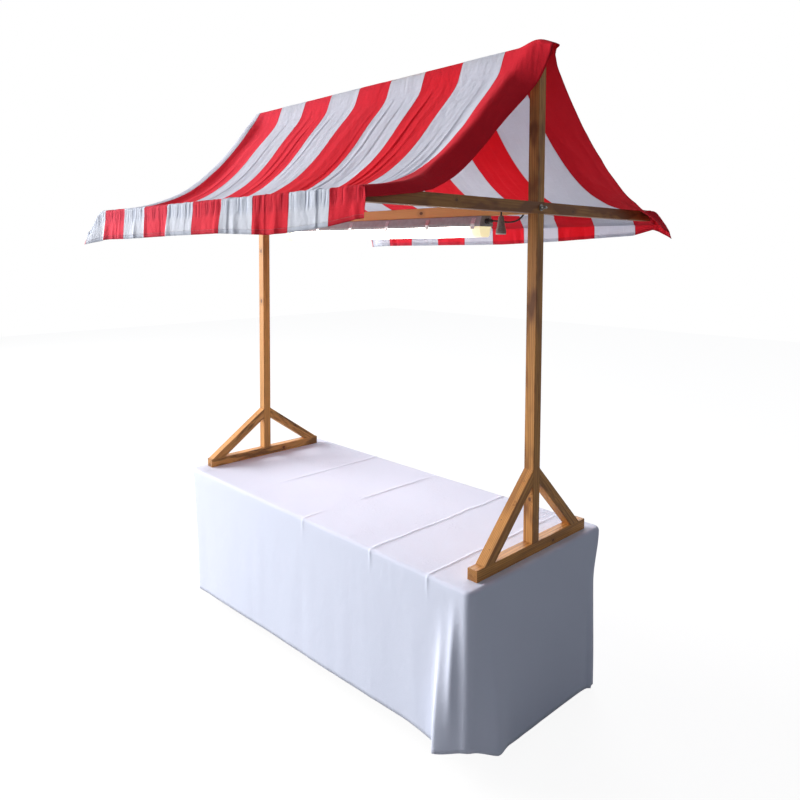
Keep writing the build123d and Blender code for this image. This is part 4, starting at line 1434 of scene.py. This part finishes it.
def screw_tree():
    """Countersunk heads with a cross recess, one at each point, facing along the point's facing."""
    tree, nodes, given = repeat_tree("brace_screws", SCREW_SIZES)
    radius = given["Head radius"]
    height = given["Head height"]
    width = given["Recess width"]
    top = nodes.times(radius, SCREW_TOP)
    inputs = {"Vertices": SCREW_SIDES, "Depth": height, "Radius Bottom": radius, "Radius Top": top}
    head = nodes.add("GeometryNodeMeshCone", inputs)
    recess = nodes.add("GeometryNodeJoinGeometry")
    long_side = nodes.times(radius, SCREW_RECESS)
    place = nodes.add("ShaderNodeCombineXYZ", {"Z": height}).outputs[0]
    for first, second in ((long_side, width), (width, long_side)):
        size = nodes.add("ShaderNodeCombineXYZ", {"X": first, "Y": second, "Z": height})
        arm = nodes.add("GeometryNodeMeshCube", {"Size": size.outputs[0]})
        inputs = {"Geometry": arm.outputs["Mesh"], "Translation": place}
        nodes.put(recess.inputs[0], nodes.add("GeometryNodeTransform", inputs).outputs[0])
    inputs = {"Mesh 1": head.outputs["Mesh"], "Mesh 2": recess.outputs[0]}
    cut = nodes.add("GeometryNodeMeshBoolean", inputs, operation="DIFFERENCE")
    facing = nodes.add("GeometryNodeInputNamedAttribute", {"Name": "facing"}, data_type="FLOAT_VECTOR")
    along = facing.outputs["Attribute"]
    give_copies(nodes, given["Geometry"], cut.outputs["Mesh"], along, given["Finish"])
    return tree


def make_brace_screws(finish):
    """Three screws down the upper face of each brace."""
    places = []
    facings = []
    for side in ("left", "right"):
        for face in ("front", "back"):
            low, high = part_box(f"{side}_{face}_brace")
            outward = -1 if face == "front" else 1
            top = Vector(((low.x + high.x) / 2, low.y if outward > 0 else high.y, high.z))
            toe = Vector((top.x, high.y if outward > 0 else low.y, low.z))
            facing = Vector((0, outward * (top.z - toe.z), abs(toe.y - top.y))).normalized()
            for index, share in enumerate(SCREW_SHARES):
                aside = Vector((SCREW_ASIDE * (-1) ** index, 0, 0))
                places.append(top.lerp(toe, share) + aside + facing * SCREW_PROUD)
                facings.extend(facing)
    guide = mesh_object("brace_screw_places", places, [])
    attribute = guide.data.attributes.new("facing", "FLOAT_VECTOR", "POINT")
    attribute.data.foreach_set("vector", facings)
    return made_by("brace_screws", guide, screw_tree(), {**SCREW_SIZES, "Finish": finish})


def stitch_tree():
    """Short round stitches, evenly spaced along guide lines."""
    tree, nodes, given = repeat_tree("hem_stitches", STITCH_SIZES)
    lines = nodes.add("GeometryNodeMeshToCurve", {"Mesh": given["Geometry"]})
    inputs = {"Curve": lines.outputs[0], "Length": given["Spacing"]}
    spaced = nodes.add("GeometryNodeResampleCurve", inputs, mode="LENGTH")
    points = nodes.add("GeometryNodeCurveToPoints", {"Curve": spaced.outputs[0]}, mode="EVALUATED").outputs
    inputs = {"Vertices": STITCH_SIDES, "Radius": given["Thread radius"], "Depth": given["Length"]}
    thread = nodes.add("GeometryNodeMeshCylinder", inputs).outputs["Mesh"]
    give_copies(nodes, points[0], thread, points["Tangent"], given["Finish"])
    return tree


def make_stitches(section, halves, finish):
    """A stitch line above each hem, just proud of the cloth."""
    rows = canopy_rows(section)
    vertices = []
    edges = []
    for face, points in halves.items():
        place = np.interp(section["hem"] - HEM_DEPTH, rows, np.arange(len(rows)))
        row = int(place)
        share = place - row
        line = points[row] * (1 - share) + points[row + 1] * share
        line = line + np.array([0, face * STITCH_PROUD, 0])
        start = len(vertices)
        vertices += list(line)
        edges += [(start + index, start + index + 1) for index in range(len(line) - 1)]
    guide = mesh_object("stitch_lines", vertices, [], edges=edges)
    return made_by("hem_stitches", guide, stitch_tree(), {**STITCH_SIZES, "Finish": finish})


# Stage


def make_camera():
    data = bpy.data.cameras.new("stall_view")
    data.sensor_width = CAMERA_SENSOR
    data.lens = CAMERA_LENS
    data.shift_x = CAMERA_SHIFT_X
    data.shift_y = CAMERA_SHIFT_Y
    camera = linked("stall_view", data)
    ahead = Vector((
        cos(CAMERA_PITCH) * sin(CAMERA_YAW),
        cos(CAMERA_PITCH) * cos(CAMERA_YAW),
        sin(CAMERA_PITCH),
    ))
    right = ahead.cross(Vector((0, 0, 1))).normalized()
    up = right.cross(ahead)
    rolled_right = right * cos(CAMERA_ROLL) + up * sin(CAMERA_ROLL)
    rolled_up = up * cos(CAMERA_ROLL) - right * sin(CAMERA_ROLL)
    turn = Matrix((rolled_right, rolled_up, -ahead)).transposed()
    camera.matrix_world = Matrix.Translation(CAMERA_PLACE) @ turn.to_4x4()
    bpy.context.scene.camera = camera


def make_lights():
    """A broad key from the left, a soft light from behind the canopy, a white backdrop and a cool sky."""
    key = bpy.data.lights.new("key_light", "AREA")
    key.shape = "DISK"
    key.size = KEY_SIZE
    key.energy = KEY_POWER
    key.color = KEY_COLOUR
    place_light(key, KEY_PLACE, KEY_PLACE - KEY_TARGET)
    back = bpy.data.lights.new("back_light", "SUN")
    back.energy = BACK_STRENGTH
    back.angle = BACK_ANGLE
    back.color = BACK_COLOUR
    place_light(back, KEY_TARGET, BACK_FROM)
    world = bpy.data.worlds.new("studio")
    bpy.context.scene.world = world
    world.use_nodes = True
    world.node_tree.nodes.clear()
    nodes = Nodes(world.node_tree)
    seen = seen_directly(nodes)
    sky = nodes.add("ShaderNodeBackground", {"Color": SKY_COLOUR, "Strength": SKY_STRENGTH})
    backdrop = nodes.add("ShaderNodeBackground", {"Color": (1, 1, 1, 1), "Strength": 1.0})
    mixed = nodes.add("ShaderNodeMixShader", {0: seen, 1: sky.outputs[0], 2: backdrop.outputs[0]})
    nodes.add("ShaderNodeOutputWorld", {"Surface": mixed.outputs[0]})


def place_light(light, place, away):
    """Stands a light at a place so that it shines against the direction away."""
    lamp = linked(light.name, light)
    lamp.location = place
    lamp.rotation_euler = away.to_track_quat("Z", "Y").to_euler()


def seen_directly(nodes):
    """1 for rays from the camera, from mirror-like surfaces and through glass."""
    path = nodes.add("ShaderNodeLightPath").outputs
    seen = nodes.larger(path["Is Camera Ray"], path["Is Glossy Ray"])
    return nodes.larger(seen, path["Is Transmission Ray"])


def make_floor():
    half = FLOOR_SIZE / 2
    corners = [(-half, -half, 0), (half, -half, 0), (half, half, 0), (-half, half, 0)]
    material, nodes = new_material("studio_floor")
    seen = seen_directly(nodes)
    bounce = nodes.add("ShaderNodeBsdfDiffuse", {"Color": FLOOR_BOUNCE}).outputs[0]
    shade = nodes.add("ShaderNodeBsdfDiffuse", {"Color": FLOOR_SHADE}).outputs[0]
    glow = nodes.add("ShaderNodeEmission", {"Strength": FLOOR_GLOW}).outputs[0]
    pale = nodes.add("ShaderNodeAddShader", {0: shade, 1: glow}).outputs[0]
    show(nodes, nodes.add("ShaderNodeMixShader", {0: seen, 1: bounce, 2: pale}).outputs[0])
    mesh_object("floor", corners, [(0, 1, 2, 3)], material=material)


# Dressing the stall

# Each timber: its pith, scorch, stain (above 1 it is painted shade, on the right post and right arm) and
# paleness (painted light, on the tie beam and the left-hand timbers); then its two knots and their size
PINE = {
    "left_post": ((0.055, 0.03, 0), 0.15, 0.15, 0.1, (0, -0.023, 0.21), (0, -0.023, -0.09), 0.009),
    "right_post": ((-0.045, 0.04, 0), 0.05, 1.12, 0, (0.006, -0.023, -0.8), (-0.023, 0.004, 0.4), 0.007),
    "left_foot_rail": ((0.05, -0.06, 0), 0.4, 0.2, 0.45, (0.023, 0, 0.12), (0, 0.023, -0.2), 0.008),
    "right_foot_rail": ((-0.035, 0.065, 0), 0.06, 0.5, 0, (0.023, 0.004, 0.13), (0, 0.023, -0.26), 0.006),
    "left_front_brace": ((0.04, 0.05, 0), 0.36, 0.2, 0.35, (0.01, 0.023, 0.05), (0, 0.023, -0.1), 0.006),
    "left_back_brace": ((-0.05, 0.04, 0), 0.36, 0.25, 0.3, (0.023, 0.01, 0.02), (0, 0.023, 0.1), 0.006),
    "right_front_brace": ((0.06, -0.03, 0), 0.04, 0.45, 0, (0, 0.023, 0.11), (0.023, 0.005, -0.06), 0.006),
    "right_back_brace": ((-0.03, 0.055, 0), 0.04, 0.5, 0, (0.005, 0.023, -0.04), (0.023, 0, 0.08), 0.007),
    "left_cross_arm": ((0.03, 0.055, 0), 0.1, 0.5, 0, (0.023, 0, 0.35), (0, 0.023, -0.4), 0.007),
    "right_cross_arm": ((0.055, 0.02, 0), 0.05, 1.58, 0, (0.023, 0.006, 0.24), (0.023, -0.004, -0.52), 0.006),
    "tie_beam": ((0.02, 0.06, 0), 0, 0, 0.75, (-0.023, 0, 0.35), (0, -0.023, -0.3), 0.008),
    "ridge_beam": ((-0.05, 0.035, 0), 0, 0.45, 0, (0.023, 0, 0.3), (-0.023, 0, -0.5), 0.008),
    "front_eave_pole": ((0.02, 0.02, 0), 0, 0.3, 0, (0, 0.008, 0.3), (0, 0.008, -0.5), 0.003),
    "back_eave_pole": ((0.02, -0.02, 0), 0, 0.3, 0, (0, 0.008, 0.4), (0, 0.008, -0.3), 0.003),
}
# Solids that keep their own shape, by finish
DRESSED = {
    "zinc_steel": ("left_clamp_bolt", "right_clamp_bolt", "left_wing_nut", "right_wing_nut"),
    "spring_steel": ("light_clips",),
    "leg_steel": ("left_leg_frame", "right_leg_frame", "left_leg_stay", "right_leg_stay"),
    "cap_rubber": ("left_leg_caps", "right_leg_caps"),
    "table_board": ("table_top",),
    "grey_plastic": ("light_housing",),
    "black_plastic": ("light_gland",),
}


def dress(node, material):
    """Gives a node that keeps its own shape a finish in all its slots."""
    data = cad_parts[node].data
    data.materials.clear()
    data.materials.append(material)


def add_piece(piece, slot, *nodes):
    """Lets a piece ride on the stall and stand for the solids named; the slot is not used."""
    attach(piece, BODY)
    if nodes:
        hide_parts(*nodes)


def dress_solids():
    for node, looks in PINE.items():
        dress(node, pine_finish(node, looks))
    for finish, nodes in DRESSED.items():
        material = plain_finish(finish)
        for node in nodes:
            dress(node, material)
    dress("light_diffuser", diffuser_finish())


CANOPY_NODES = [f"canopy_{face}_{part}" for face in ("front", "back") for part in ("slope", "valance")]
CANOPY_NODES += [f"canopy_{side}_{face}_skirt" for side in ("left", "right") for face in ("front", "back")]
CLOTH_NODES = ["cloth_top"] + [f"cloth_{side}_drop" for side in ("front", "back", "left", "right")]


def main():
    bpy.context.scene.view_settings.view_transform = "Standard"
    make_camera()
    make_lights()
    make_floor()
    make_pine_grain()
    make_cloth_weave()
    make_surface_wear()
    dress_solids()

    lead = make_lead(plain_finish("lead_rubber"))
    add_piece(lead, "lead_rubber", "lamp_lead")
    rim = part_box("lead_connector")[0].z + RIM_HEIGHT
    connector = make_connector(plain_finish("grey_rubber", pale_to=rim))
    add_piece(connector, "grey_rubber", "lead_connector")

    section = canopy_section()
    canvas = canvas_finish(section)
    canopy, halves = make_canopy(section, canvas)
    add_piece(canopy, "striped_canvas", *CANOPY_NODES)
    pockets = make_pockets(section, canvas)
    add_piece(pockets, "striped_canvas")
    stitches = make_stitches(section, halves, plain_finish("stitch_thread"))
    add_piece(stitches, "striped_canvas")

    cloth = make_table_cloth(table_cloth_finish())
    add_piece(cloth, "table_cloth", *CLOTH_NODES)

    screws = make_brace_screws(plain_finish("screw_steel"))
    add_piece(screws, "zinc_steel")


main()
